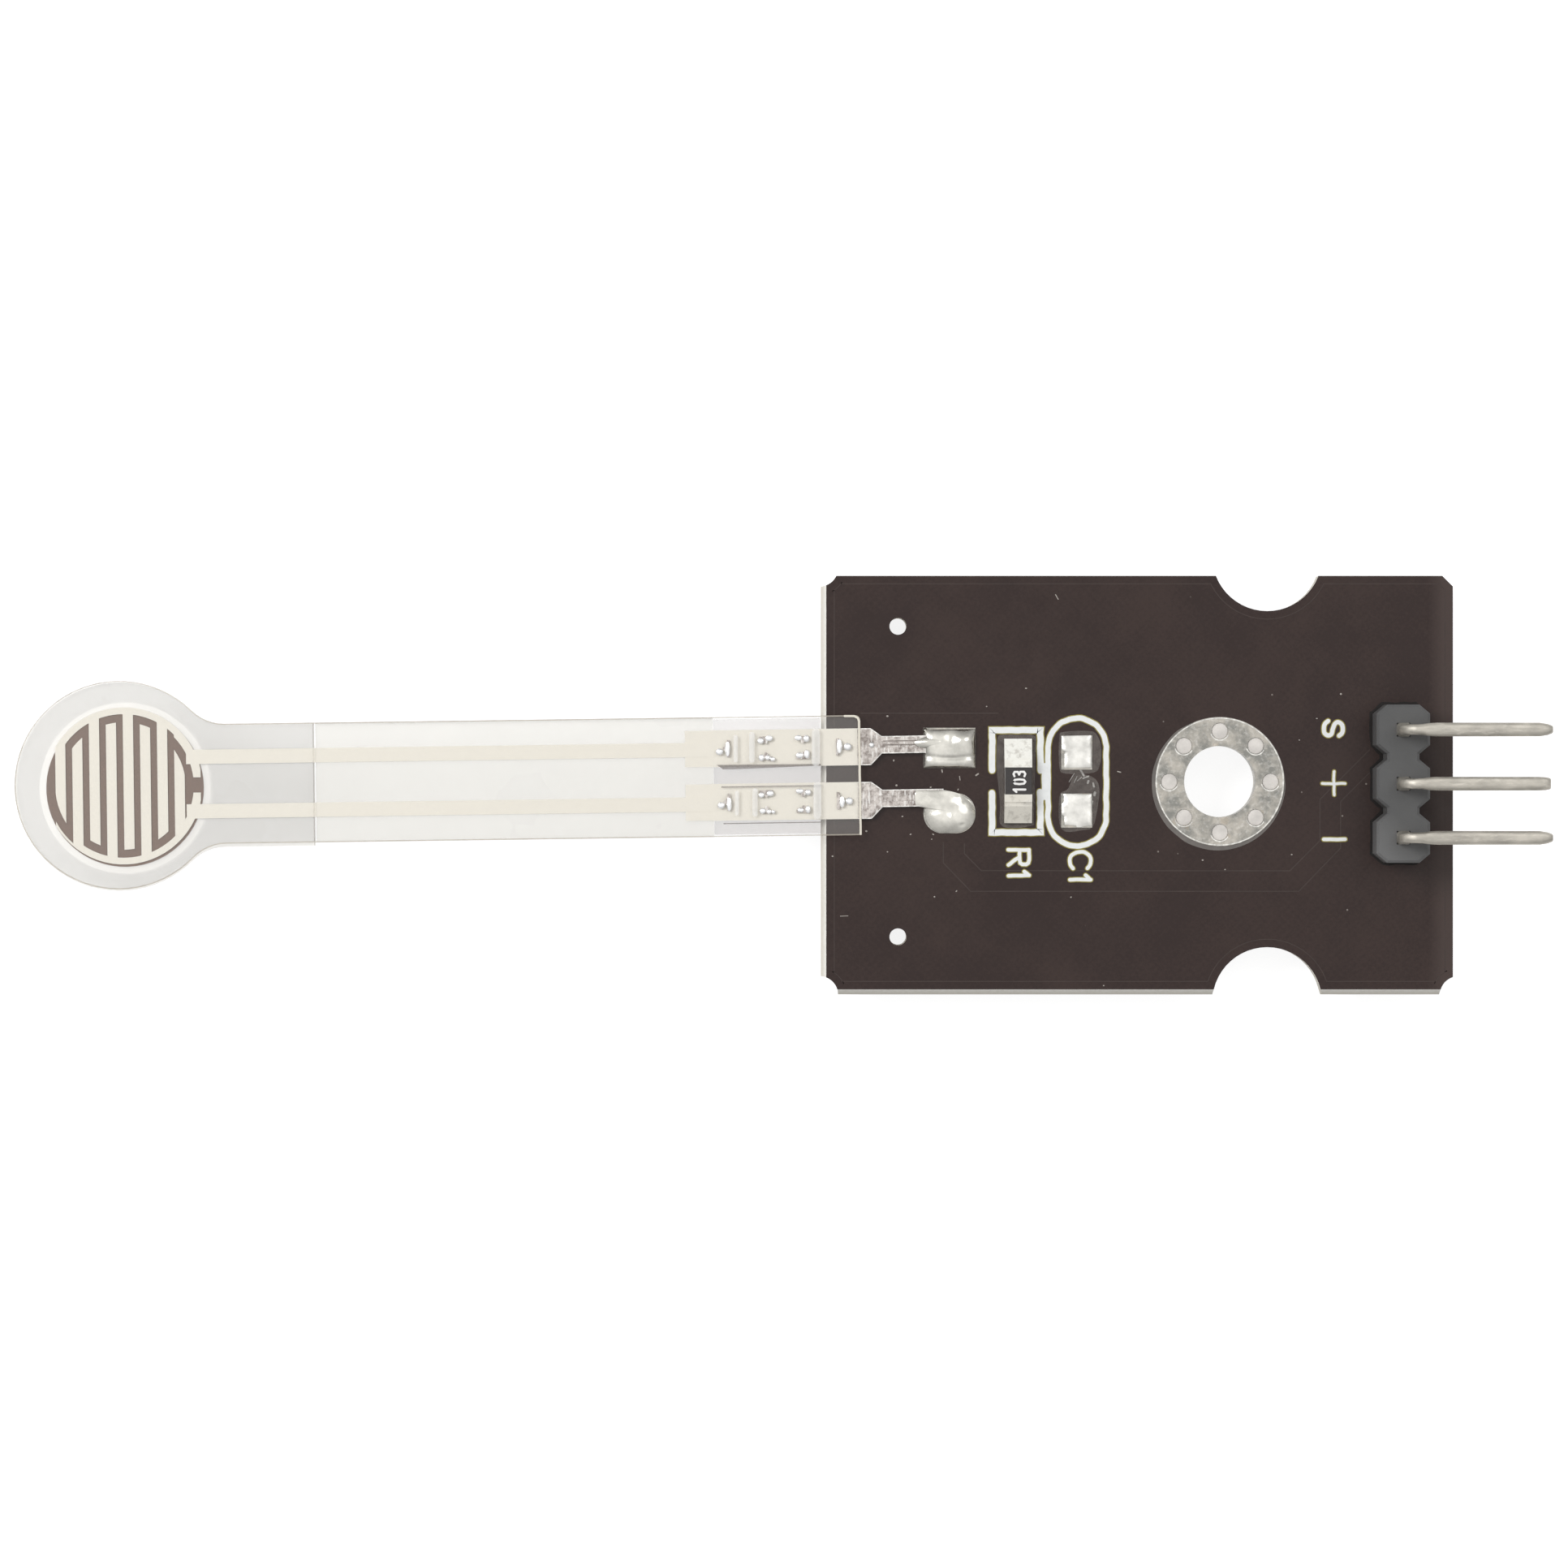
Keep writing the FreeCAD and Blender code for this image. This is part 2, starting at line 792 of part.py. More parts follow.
def sensor_main_film():
    """The long upper film, with a slit for every prong and ribs over each terminal."""
    body, neck = film_blank("main_film", "main_film_base", "film")
    end = number("film_end")

    def at_end(edge):
        point = edge.Vertexes[0].Point
        return upright(edge) and point.x > end - 1e-3 and point.y > 0

    fillet(body, "film_end_corner", neck, at_end, "end_corner")
    slits = sketch(body, "prong_slits", offset="main_film_base")
    for name, sign in sides():
        for x, y, width, turn in prong_places():
            sizes = ["prong_thickness + 2 * slit_clearance", "(%s) + 2 * slit_clearance" % width]
            if turn in (90, -90):
                sizes.reverse()
            rectangle(slits, sizes[0], sizes[1], "strip_start + " + x, "%s + (%s)" % (terminal_row(sign), y))
    pocket(body, slits, reverse=True)
    for name, sign in sides():
        rib = sketch(body, name + "_ribs", "XZ_Plane", "-(%s)" % terminal_row(sign))
        for x in ("first_rib", "second_rib", "third_rib"):
            centre = "strip_start + " + x
            polygon(
                rib,
                [
                    (centre + " - rib_width / 2", FILM_TOP),
                    (centre + " + rib_width / 2", FILM_TOP),
                    (centre + " + rib_width / 4", FILM_TOP + " + rib_height"),
                    (centre + " - rib_width / 4", FILM_TOP + " + rib_height"),
                ],
            )
        pad(body, rib, "rib_length").Midplane = True
    return sub_part(body, "sensor_main_film")


def sensor_head_film():
    body, neck = film_blank(
        "head_film",
        SPACER_BASE + " - film",
        "film",
        end="head_film_end",
        width="tail_width + head_film_extra",
        drop="head_film_drop",
    )
    return sub_part(body, "sensor_head_film")


def spacer_adhesive():
    """The ring of adhesive that holds the head's two films apart round the sensing disc."""
    body, neck = film_blank("spacer", SPACER_BASE, "spacer", "spacer_inset", "head_film_end")
    opening = sketch(body, "spacer_opening", offset=SPACER_BASE)
    circle(opening, "comb_radius + spacer_clearance", "ink_x", "-ink_drop")
    pocket(body, opening, reverse=True)
    return sub_part(body, "spacer_adhesive")


def sensor_tail_film():
    """The milky cover that lies under the tail from the head film to the terminals."""
    body = place_on_sensor(doc.addObject("PartDesign::Body", "tail_film"))
    outline = sketch(body, "tail_film_outline", offset=SILVER_BASE + " - tail_cover")
    start = "head_film_end + film_gap"
    rectangle(outline, "tail_cover_end - (%s)" % start, "tail_width", "(tail_cover_end + %s) / 2" % start)
    pad(body, outline, "tail_cover")
    return sub_part(body, "sensor_tail_film")


def pressure_ink():
    body = place_on_sensor(doc.addObject("PartDesign::Body", "ink_disc"))
    outline = sketch(body, "ink_outline", offset=SPACER_BASE)
    circle(outline, "comb_radius + ink_margin", "ink_x", "-ink_drop")
    pad(body, outline, "ink")
    return sub_part(body, "pressure_ink")


# Silver combs, built from the named sizes with plain shapes


def slab(x_from, x_to, y_from, y_to, base, thickness):
    """A flat box between two corners."""
    corner = FreeCAD.Vector(x_from, y_from, base)
    return Part.makeBox(x_to - x_from, y_to - y_from, thickness, corner)


def comb_gap(base, thickness):
    """The winding gap between the combs: upright bars joined in turn at the top and the bottom.

    It is drawn about the middle of the disc. The bars are numbered from 0, the crescent on the
    left, to the last, which is the arc on the right.
    """
    radius = number("comb_radius - comb_rim")
    left_radius = number("comb_radius - comb_left_rim")
    right_radius = number("comb_radius - comb_right_rim")
    width = number("gap_width")
    finger = number("finger_width")
    thick = number("cap_thickness")
    far = number("comb_radius") + 1
    count = int(2 * radius / (width + finger)) - 1
    first = -number("comb_shift") - (count - 1) / 2 * (width + finger) - width / 2
    starts = [first + n * (width + finger) for n in range(count)]
    bars = [(start, start + width) for start in starts]
    bars = [(-far, starts[0] - finger)] + bars + [(starts[-1] + width + finger, far)]

    def disc(radius):
        return Part.makeCylinder(radius, thickness, FreeCAD.Vector(0, 0, base))

    bar_radii = [far] + [radius] * count + [right_radius]
    joint_radii = [left_radius] + [radius] * (count - 1) + [right_radius]
    pieces = []
    for (left, right), outer in zip(bars, bar_radii):
        pieces.append(disc(outer).common(slab(left, right, -far, far, base, thickness)))
    for n, outer in enumerate(joint_radii):
        # Odd bars join the next one at the top, even bars at the bottom
        low, high = (0, far) if n % 2 else (-far, 0)
        joint = disc(outer).cut(disc(outer - thick))
        pieces.append(joint.common(slab(bars[n][0], bars[n + 1][1], low, high, base, thickness)))
    exit_half = number("exit_height") / 2
    pieces.append(slab(bars[-1][0], far, -exit_half, exit_half, base, thickness))
    return pieces[0].multiFuse(pieces[1:])


def electrode_shapes():
    """The upper and the lower comb, each with its trace and its crimp pad."""
    base = number(SILVER_BASE)
    thickness = number("silver")
    comb = Part.makeCylinder(number("comb_radius"), thickness, FreeCAD.Vector(0, 0, base))
    comb = comb.cut(comb_gap(base, thickness))
    trace_inner = number("trace_y - trace_width / 2")
    far = number("comb_radius") + 1
    comb = comb.cut(slab(number("comb_radius - exit_trim"), far, -trace_inner, trace_inner, base, thickness))
    comb.translate(FreeCAD.Vector(number("comb_x"), -number("comb_drop"), 0))
    shapes = []
    for name, sign in sides():
        middle = sign * number("trace_y")
        half = number("trace_width") / 2
        start = number("comb_x + comb_radius - exit_trim") - number("trace_width")
        trace = slab(start, number("strip_start"), middle - half, middle + half, base, thickness)
        row = number(terminal_row(sign))
        pad_half = number("strip_width") / 2
        pad_start = number("strip_start - pad_margin")
        pad_end = number("film_end - pad_margin")
        crimp_pad = slab(pad_start, pad_end, row - pad_half, row + pad_half, base, thickness)
        for x, y, width, turn in prong_places():
            crimp_pad = crimp_pad.cut(prong_slit(x, y, width, turn, row, base, thickness))
        rim_point = FreeCAD.Vector(number("comb_x"), sign * number("comb_radius - cap_thickness / 3"), 0)
        combs = sorted(comb.Solids, key=lambda solid: solid.distToShape(Part.Vertex(rim_point))[0])
        shapes.append((name, combs[0].fuse([trace, crimp_pad]).removeSplitter()))
    return shapes


def prong_slit(x, y, width, turn, row, base, thickness):
    """The slot that a prong passes through, a little larger than the prong."""
    clearance = number("slit_clearance")
    half_thick = number("prong_thickness") / 2 + clearance
    half_wide = number(width) / 2 + clearance
    slot = slab(-half_thick, half_thick, -half_wide, half_wide, base, thickness)
    return put_prong(slot, x, y, turn, row)


def put_prong(shape, x, y, turn, row):
    """Turns a shape drawn for a prong at the origin and moves it to its place on a strip."""
    shape.rotate(FreeCAD.Vector(), FreeCAD.Vector(0, 0, 1), turn)
    shape.translate(FreeCAD.Vector(number("strip_start + " + x), row + number(y), 0))
    return shape


def electrodes():
    for name, shape in electrode_shapes():
        item = doc.addObject("Part::Feature", "silver_" + name)
        item.Shape = shape
        place_on_sensor(item)
        sub_part(item, "electrode_" + name)


# Crimp terminals


def prong(width):
    """A blade that stands up through the film, then curls over and narrows to a blunt point."""
    thickness = number("prong_thickness")
    base = number(SILVER_BASE)
    top = number(FILM_TOP + " + prong_rise")
    radius = number("prong_curl")
    tip = number("prong_tip_width")

    def section(angle, wide, extra=0):
        """A cross-section of the blade after it has turned through an angle."""
        inner = radius - thickness / 2
        outer = radius + thickness / 2
        corners = []
        for distance, side in ((outer, -1), (outer, 1), (inner, 1), (inner, -1)):
            x = radius - distance * math.cos(angle) + extra * math.sin(angle)
            z = top + distance * math.sin(angle) + extra * math.cos(angle)
            corners.append(FreeCAD.Vector(x, side * wide / 2, z))
        return Part.makePolygon(corners + corners[:1])

    stem = slab(-thickness / 2, thickness / 2, -width / 2, width / 2, base, top - base)
    turns = [0, 30, 60, 90]
    sections = []
    for angle in turns:
        share = angle / (turns[-1] * 1.5)
        sections.append(section(math.radians(angle), width + (tip - width) * share))
    sections.append(section(math.radians(turns[-1]), tip, number("prong_tip_length")))
    curl = Part.makeLoft(sections, True, True)
    return stem.fuse(curl)


def terminal_shape(sign):
    base = number(STRIP_BASE)
    thickness = number("terminal_thickness")
    row = number(terminal_row(sign))
    strip = number("strip_width") / 2
    neck = number("neck_width") / 2
    middle = row + number("neck_rise")
    side = [
        (number("strip_start"), row, strip),
        (number("shoulder_end"), row, strip),
        (number("neck_start"), middle, neck),
        (number("neck_end"), middle, neck),
    ]
    corners = [(x, y + half) for x, y, half in side] + [(x, y - half) for x, y, half in reversed(side)]
    points = [FreeCAD.Vector(x, y, base) for x, y in corners]
    outline = Part.makePolygon(points + points[:1])
    blank = Part.Face(outline).extrude(FreeCAD.Vector(0, 0, thickness))
    groove_half = number("neck_groove_width") / 2
    groove_base = base + thickness - number("neck_groove_depth")
    groove = slab(
        number("shoulder_end"),
        number("neck_groove_end"),
        middle - groove_half,
        middle + groove_half,
        groove_base,
        thickness,
    )
    prongs = [put_prong(prong(number(width)), x, y, turn, row) for x, y, width, turn in prong_places()]
    return blank.cut(groove).fuse(prongs).removeSplitter()


def crimp_terminals():
    terminals = []
    for name, sign in sides():
        item = doc.addObject("Part::Feature", "terminal_" + name)
        item.Shape = terminal_shape(sign)
        place_on_sensor(item)
        terminals.append(sub_part(item, "crimp_terminal_" + name))
    return terminals


def sensor_solder(name, sign, terminal):
    """The mound of solder that buries the end of a terminal on its land."""
    body = doc.addObject("PartDesign::Body", name + "_mound")
    outline = sketch(body, name + "_mound_outline", offset=LAND_TOP)
    land_outline(outline, name, sign)
    mound = pad(body, outline, "mound_height")
    bind(mound, TaperAngle="-mound_slope")
    return sub_part(cut(name + "_joint", body, terminal), "sensor_solder_" + name)


circuit_board()
mounting_ring()
sensor_pads()
header_lands()
resistor_pads()
chip_resistor()
resistor_solder()
capacitor_pads()
capacitor_tinning()
header_housing()
header_solder(header_pins())
sensor_main_film()
sensor_head_film()
spacer_adhesive()
sensor_tail_film()
pressure_ink()
electrodes()
for (side_name, side_sign), crimp in zip(sides(), crimp_terminals()):
    sensor_solder(side_name, side_sign, crimp)

doc.recompute()
for item in doc.Objects:
    if "Invalid" in item.State or "Error" in item.State:
        raise RuntimeError("%s did not recompute: %s" % (item.Label, item.State))

os.makedirs("parts", exist_ok=True)
for item in PARTS:
    if item.Shape.isNull() or not item.Shape.isValid():
        raise RuntimeError("%s has no valid shape" % item.Label)
for item in PARTS:
    item.Shape.exportStep("parts/%s.step" % item.Label)
    print("%-26s %8.3f mm3 %d solid(s)" % (item.Label, item.Shape.Volume, len(item.Shape.Solids)))
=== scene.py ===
"""Looks of a thin-film pressure sensor on its small circuit board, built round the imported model.

Every length is in metres unless its name or its description says millimetres. Points of the
board are in millimetres from the middle of the mounting hole, and points of the film sensor in
millimetres from the middle of its round head.
"""

import math

import bmesh
import bpy
from mathutils import Matrix, Vector, noise


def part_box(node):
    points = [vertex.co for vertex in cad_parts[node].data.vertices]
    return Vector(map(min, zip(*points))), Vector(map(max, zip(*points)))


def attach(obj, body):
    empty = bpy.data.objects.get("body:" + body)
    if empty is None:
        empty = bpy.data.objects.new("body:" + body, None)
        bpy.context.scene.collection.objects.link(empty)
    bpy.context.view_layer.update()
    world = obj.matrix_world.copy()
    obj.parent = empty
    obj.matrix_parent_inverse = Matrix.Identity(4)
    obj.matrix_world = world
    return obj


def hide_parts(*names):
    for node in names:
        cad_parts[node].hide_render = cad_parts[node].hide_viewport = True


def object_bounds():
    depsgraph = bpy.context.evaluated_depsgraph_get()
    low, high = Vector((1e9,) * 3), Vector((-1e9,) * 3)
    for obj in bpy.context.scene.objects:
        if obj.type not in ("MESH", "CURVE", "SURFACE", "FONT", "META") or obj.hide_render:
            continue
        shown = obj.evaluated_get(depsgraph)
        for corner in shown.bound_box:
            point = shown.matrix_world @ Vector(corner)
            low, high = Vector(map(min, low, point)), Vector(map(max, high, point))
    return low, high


bl_info = {
    "name": "Thin-film Pressure Sensor",
    "version": (1, 0, 0),
    "blender": (4, 5, 0),
    "location": "View3D > Sidebar > Sensor",
    "description": "Builds the finishes, prints and solder of a film pressure sensor and its stage",
    "category": "Object",
}

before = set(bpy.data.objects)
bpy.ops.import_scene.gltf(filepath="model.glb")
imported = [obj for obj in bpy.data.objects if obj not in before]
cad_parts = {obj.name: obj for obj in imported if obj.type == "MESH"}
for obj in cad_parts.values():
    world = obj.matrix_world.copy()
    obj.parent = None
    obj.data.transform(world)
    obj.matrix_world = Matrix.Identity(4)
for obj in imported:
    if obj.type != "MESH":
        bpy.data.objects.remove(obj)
CAD_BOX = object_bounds()
MM = 0.001
BODY = "root"
BOARD_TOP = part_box("circuit_board")[1].z
LAND_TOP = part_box("sensor_pads")[1].z
STRIP_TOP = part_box("electrode_upper")[0].z
FILM_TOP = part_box("electrode_upper")[1].z + 0.12 * MM

# Each stroke or fleck is this much thicker than the last, in millimetres, so that no two tops
# fall together
LIFT = 0.0004

# Heights closer together than this, in metres, count as the same
NEAR = 2e-6


def linear(code):
    """The linear colour of an sRGB hex code."""
    parts = [int(code[n : n + 2], 16) / 255 for n in (1, 3, 5)]
    return tuple(c / 12.92 if c <= 0.04045 else ((c + 0.055) / 1.055) ** 2.4 for c in parts)


def colour(name, code, description):
    """A colour property with an sRGB hex default."""
    return bpy.props.FloatVectorProperty(
        name=name, description=description, default=linear(code), subtype="COLOR", min=0, max=1
    )


def length(name, default, description):
    """A length or a place in millimetres."""
    description += ", in millimetres"
    return bpy.props.FloatProperty(name=name, description=description, default=default)


def share(name, default, description):
    """A property from 0 to 1."""
    return bpy.props.FloatProperty(
        name=name, description=description, default=default, min=0.0, max=1.0, subtype="FACTOR"
    )


def power(name, default, description):
    """A power in watts."""
    description += ", in watts"
    return bpy.props.FloatProperty(name=name, description=description, default=default, min=0)


class BoardLooks(bpy.types.PropertyGroup):
    """Colours and print sizes of the circuit board."""

    mask: colour("Solder mask", "#271916", "Dark brown-black mask")
    mask_light: colour("Worn mask", "#31231f", "Slightly lighter patches in the mask")
    mask_edge: colour("Thin mask", "#463a36", "Mask where it runs thin over the edge of the copper")
    laminate: colour("Laminate", "#f8f6f0", "Glass-epoxy laminate where the edge was cut")
    laminate_deep: colour("Deep laminate", "#d6d1c5", "Laminate deep in the score")
    print_white: colour("Legend ink", "#e9ebea", "White legend ink")
    print_fringe: colour("Legend fringe", "#8d823c", "Thin olive bleed round the legend ink")
    fringe_width: length("Fringe width", 0.045, "Width of the bleed round each stroke")
    print_height: length("Ink height", 0.02, "Thickness of the legend ink")


class MetalLooks(bpy.types.PropertyGroup):
    """Colours of the bare metals."""

    tin: colour("Tinned copper", "#b0aba2", "Lands levelled with hot air")
    tinning: colour("Tinning", "#ebe9e3", "Thick bright coat on the empty lands")
    solder: colour("Solder", "#e9e6dd", "Bright solder")
    pin: colour("Pin", "#bdb8ae", "Tin-plated header pins")
    terminal: colour("Terminal", "#cfc8c2", "Tin-plated crimp terminals")


class SensorLooks(bpy.types.PropertyGroup):
    """Colours, hazes and place of the film sensor."""

    film: colour("Film", "#f5f2ed", "Clear polyester film")
    milky: colour("Milky film", "#f2f0ea", "Milky polyester film")
    silver: colour("Silver ink", "#ebe6da", "Printed silver, pale and matt")
    carbon: colour("Pressure ink", "#725a4d", "Dark printed pressure ink")
    cut_edge: colour("Cut edge", "#bdb5a7", "Edge where the film was punched")
    # Painted shadow: grey layers under the hanging film stand for the shade on the table below it
    floor_shadow: colour("Grey film", "#b3a49d", "Grey cast of the film where it hangs clear of the table")
    film_haze: share("Film haze", 0.062, "Light that each face of the clear film holds back")
    glue_haze: share("Adhesive haze", 0.02, "Light that each face of the adhesive holds back")
    milky_haze: share("Milky haze", 0.48, "Light that each face of the milky cover holds back")
    head_haze: share("Head haze", 0.41, "Light that each face of the milky film in the head holds back")
    floor_shadow_haze: share("Grey haze", 0.1, "Light that each face of a grey layer holds back")
    edge_width: length("Cut edge width", 0.06, "Width of the line along the film's edge")
    head_x: length("Head X", -52.14, "X of the middle of the round head")
    head_y: length("Head Y", -0.17, "Y of the middle of the round head")
    turn: bpy.props.FloatProperty(
        name="Turn",
        description="Slight turn of the sensor on the board",
        default=math.radians(0.78),
        subtype="ANGLE",
    )


class HeaderLooks(bpy.types.PropertyGroup):
    """Colour of the header block and sizes of its pins."""

    plastic: colour("Header plastic", "#4f4f4f", "Slate-grey moulded nylon")
    pin_half: length("Pin half width", 0.32, "Half the side of a pin")
    bend_half: length("Bend half width", 0.25, "Half its width where it was bent")


class StageLooks(bpy.types.PropertyGroup):
    """Camera and light."""

    camera_height: length("Camera height", 350.0, "Height of the camera over the board")
    view_width: length("View width", 74.31, "Width of the view at the board's face")
    view_x: length("View centre X", -20.65, "X of the middle of the view")
    view_y: length("View centre Y", -0.115, "Y of the middle of the view")
    floor: colour("Floor", "#b0b0b0", "Pale floor")
    floor_glow: share("Floor white", 0.84, "White that the camera and reflections see in the floor")
    sky: share("Sky", 0.5, "Strength of the even light")
    horizon: share("Horizon", 0.45, "Strength of the reflected surroundings at the horizon")
    key: power("Key", 1.05, "Power of the key lamp")
    fill: power("Fill", 0.25, "Power of the fill lamp")


# Nodes


class Nodes:
    """Short calls for the nodes of one tree."""

    def __init__(self, tree):
        self.tree = tree
        tree.nodes.clear()

    def add(self, kind, inputs=None, **settings):
        """Adds a node. Inputs maps a socket's name or number to a value or to another node's
        output."""
        item = self.tree.nodes.new("ShaderNode" + kind)
        for name, value in settings.items():
            setattr(item, name, value)
        for name, value in (inputs or {}).items():
            socket = item.inputs[name]
            if isinstance(value, bpy.types.NodeSocket):
                self.tree.links.new(value, socket)
            elif socket.type == "RGBA" and len(value) == 3:
                socket.default_value = (*value, 1.0)
            else:
                socket.default_value = value
        return item

    def axes(self, vector):
        """X, Y and Z of a vector."""
        return self.add("SeparateXYZ", {0: vector}).outputs

    def sum(self, operation, first, second=0.0):
        """One step of arithmetic on values."""
        return self.add("Math", {0: first, 1: second}, operation=operation).outputs[0]

    def spread(self, value, low, high, start=0.0, end=1.0):
        """Maps a value from one range to another, and holds it inside."""
        inputs = {"Value": value, "From Min": low, "From Max": high, "To Min": start, "To Max": end}
        return self.add("MapRange", inputs).outputs[0]

    def mix(self, amount, first, second):
        """A value between two values."""
        return self.add("Mix", {0: amount, 2: first, 3: second}).outputs[0]

    def blend(self, amount, first, second):
        """A colour between two colours."""
        return self.add("Mix", {0: amount, 6: first, 7: second}, data_type="RGBA").outputs[2]


class Finish(Nodes):
    """A material with one Principled shader. Its patterns lie fixed to the object, and their
    sizes are in millimetres."""

    def __init__(self, name, inputs=None):
        self.material = bpy.data.materials.new(name)
        self.material.use_nodes = True
        super().__init__(self.material.node_tree)
        self.shader = self.add("BsdfPrincipled", inputs)
        self.add("OutputMaterial", {"Surface": self.shader.outputs[0]})
        self.where = self.add("TexCoord").outputs["Object"]

    def stretch(self, scale, turn=0.0):
        """Stretches and turns every pattern that follows."""
        inputs = {"Vector": self.where, "Rotation": (0, 0, turn), "Scale": scale}
        self.where = self.add("Mapping", inputs).outputs[0]

    def noise(self, feature, detail=3.0, rough=0.55):
        """Soft noise with patches of a size."""
        inputs = {"Vector": self.where, "Scale": per(feature), "Detail": detail, "Roughness": rough}
        return self.add("TexNoise", inputs).outputs["Fac"]

    def cloud(self, feature, span=(0.3, 0.7), to=(0.0, 1.0), detail=3.0, rough=0.55):
        """Soft noise, with a span of it mapped to a range."""
        return self.spread(self.noise(feature, detail, rough), *span, *to)

    def paint(self, tint, rough, height=None, depth=0.0):
        """Links patterns of colour, roughness and relief to the shader, and gives the material."""
        links = {"Base Color": tint, "Roughness": rough}
        if depth:
            bump = {"Height": height, "Distance": depth * MM, "Strength": 1.0}
            links["Normal"] = self.add("Bump", bump).outputs[0]
        for name, output in links.items():
            self.tree.links.new(output, self.shader.inputs[name])
        return self.material


def per(feature):
    """The texture scale that gives features of a size in millimetres."""
    return 1 / (feature * MM)


def darker(tint, amount):
    """A colour with its light cut to a share."""
    return tuple(c * amount for c in tint)


def plain(name, tint, depth, gloss, inputs, feature, relief=0.0, **noise):
    """A finish of one tone. Soft patches darken it to a share, and carry its roughness and relief."""
    look = Finish(name, inputs)
    tone = look.cloud(feature, **noise)
    rough = look.spread(tone, 0.0, 1.0, *gloss)
    return look.paint(look.blend(tone, darker(tint, depth), tint), rough, tone, relief)


# Finishes of the board


# Values of the shader that several finishes share
METAL = {"Metallic": 1.0}
RESIN = {"IOR": 1.5, "Specular IOR Level": 0.3}
INK = {"IOR": 1.5}


def liquid_mask_on_glass_epoxy(looks, top, bottom):
    """Photo-imaged liquid solder mask, cured satin, over glass-epoxy laminate.

    It gives a dark even sheen with the faint weave of the glass under it, a soft mottle and a
    few specks of dust, and pale fibrous laminate wherever a face is cut, which is every face
    that doesn't look straight up or down.
    """
    look = Finish("liquid_mask_on_glass_epoxy", RESIN)
    parts = look.axes(look.where)
    mottle = look.cloud(3.2, (0.35, 0.7))
    # Glass yarns lie about 0.45 mm apart
    turns = [look.sum("MULTIPLY", parts[n], math.tau * per(0.45)) for n in (0, 1)]
    yarns = [look.sum("SINE", turn) for turn in turns]
    weave = look.spread(look.sum("MULTIPLY", *yarns), -1.0, 1.0, -0.15, 0.15)
    grain = look.cloud(0.12, (0.25, 0.75), (-0.45, 0.45), 2.0)
    tone = look.sum("ADD", look.sum("ADD", mottle, weave), grain)
    mask = look.blend(tone, looks.mask, looks.mask_light)
    side = look.spread(parts["X"], 9.9 * MM, 10.6 * MM, 0.0, 0.7)
    mask = look.blend(side, mask, looks.mask_edge)
    cells = look.add("TexVoronoi", {"Vector": look.where, "Scale": per(1.1), "Randomness": 1.0})
    dust = look.spread(cells.outputs["Distance"], 0.03, 0.05, 1.0, 0.0)
    chosen = look.cloud(2.4, (0.5, 0.56), (0.0, 0.4), 1.0)
    mask = look.blend(look.sum("MULTIPLY", dust, chosen), mask, linear("#b5aca4"))
    middle = (top + bottom) / 2
    away = look.sum("ABSOLUTE", look.sum("SUBTRACT", parts["Z"], middle))
    shallow = look.spread(away, (top - middle) * 0.35, top - middle)
    laminate = look.blend(shallow, looks.laminate_deep, looks.laminate)
    fibres = look.cloud(0.22, (0.4, 0.75), (0.0, 0.5), 4.0, 0.7)
    laminate = look.blend(fibres, laminate, looks.laminate_deep)
    normal = look.add("NewGeometry").outputs["True Normal"]
    face = look.spread(look.sum("ABSOLUTE", look.axes(normal)["Z"]), 0.9, 0.95)
    rough = look.mix(face, 0.85, look.cloud(0.9, (0.3, 0.75), (0.32, 0.46)))
    return look.paint(look.blend(face, laminate, mask), rough, look.noise(0.35, 2.0), 0.004)


def resin_and_painted_shade(name, tint, gloss):
    """Cured epoxy in a thin run: mask over an edge or a bare step. Also painted shade: the pale discs
    in the vias and the dark line round the foot of the header block.
    """
    return plain(name, tint, 0.72, (gloss, gloss + 0.1), RESIN, 0.8)


def epoxy_legend_ink(name, tint):
    """Epoxy legend ink, screen printed on the mask: thick, slightly uneven and satin."""
    return plain(name, tint, 0.92, (0.45, 0.6), INK, 0.25, 0.004)


def rosin_flux(name, tint, haze):
    """Rosin flux left by soldering: a thin clear skin, dried to a grey haze with faint streaks."""
    inputs = {"IOR": 1.52, "Alpha": haze}
    return plain(name, tint, 0.5, (0.2, 0.5), inputs, 0.3, detail=4.0, rough=0.7)


# Finishes of the metals


def tin_levelled_copper(looks):
    """Copper dipped in tin and blown level with hot air: grey, blotched and softly streaked."""
    look = Finish("tin_levelled_copper", METAL)
    blotches = look.cloud(0.9, (0.38, 0.6), detail=5.0, rough=0.66)
    shade = look.blend(blotches, linear("#85847f"), looks.tin)
    shade = look.blend(look.cloud(0.2, (0.5, 0.75), (0.0, 0.4), 3.0, 0.6), shade, linear("#dedbd5"))
    shade = look.blend(look.cloud(1.1, (0.64, 0.72), (0.0, 0.3), 2.0), shade, linear("#ad9a80"))
    rough = look.cloud(0.3, to=(0.3, 0.5), detail=4.0)
    return look.paint(shade, rough, look.noise(0.3, 4.0, 0.65), 0.012)


def hot_dipped_tin(looks):
    """A thick coat of tin, bright and nearly white, with a soft cloudy skin."""
    look = Finish("hot_dipped_tin", METAL)
    cloudy = look.cloud(0.7, (0.36, 0.66), detail=4.0)
    shade = look.blend(cloudy, darker(looks.tinning, 0.72), looks.tinning)
    return look.paint(shade, look.cloud(0.4, to=(0.3, 0.42)), look.noise(0.45, 2.0), 0.02)


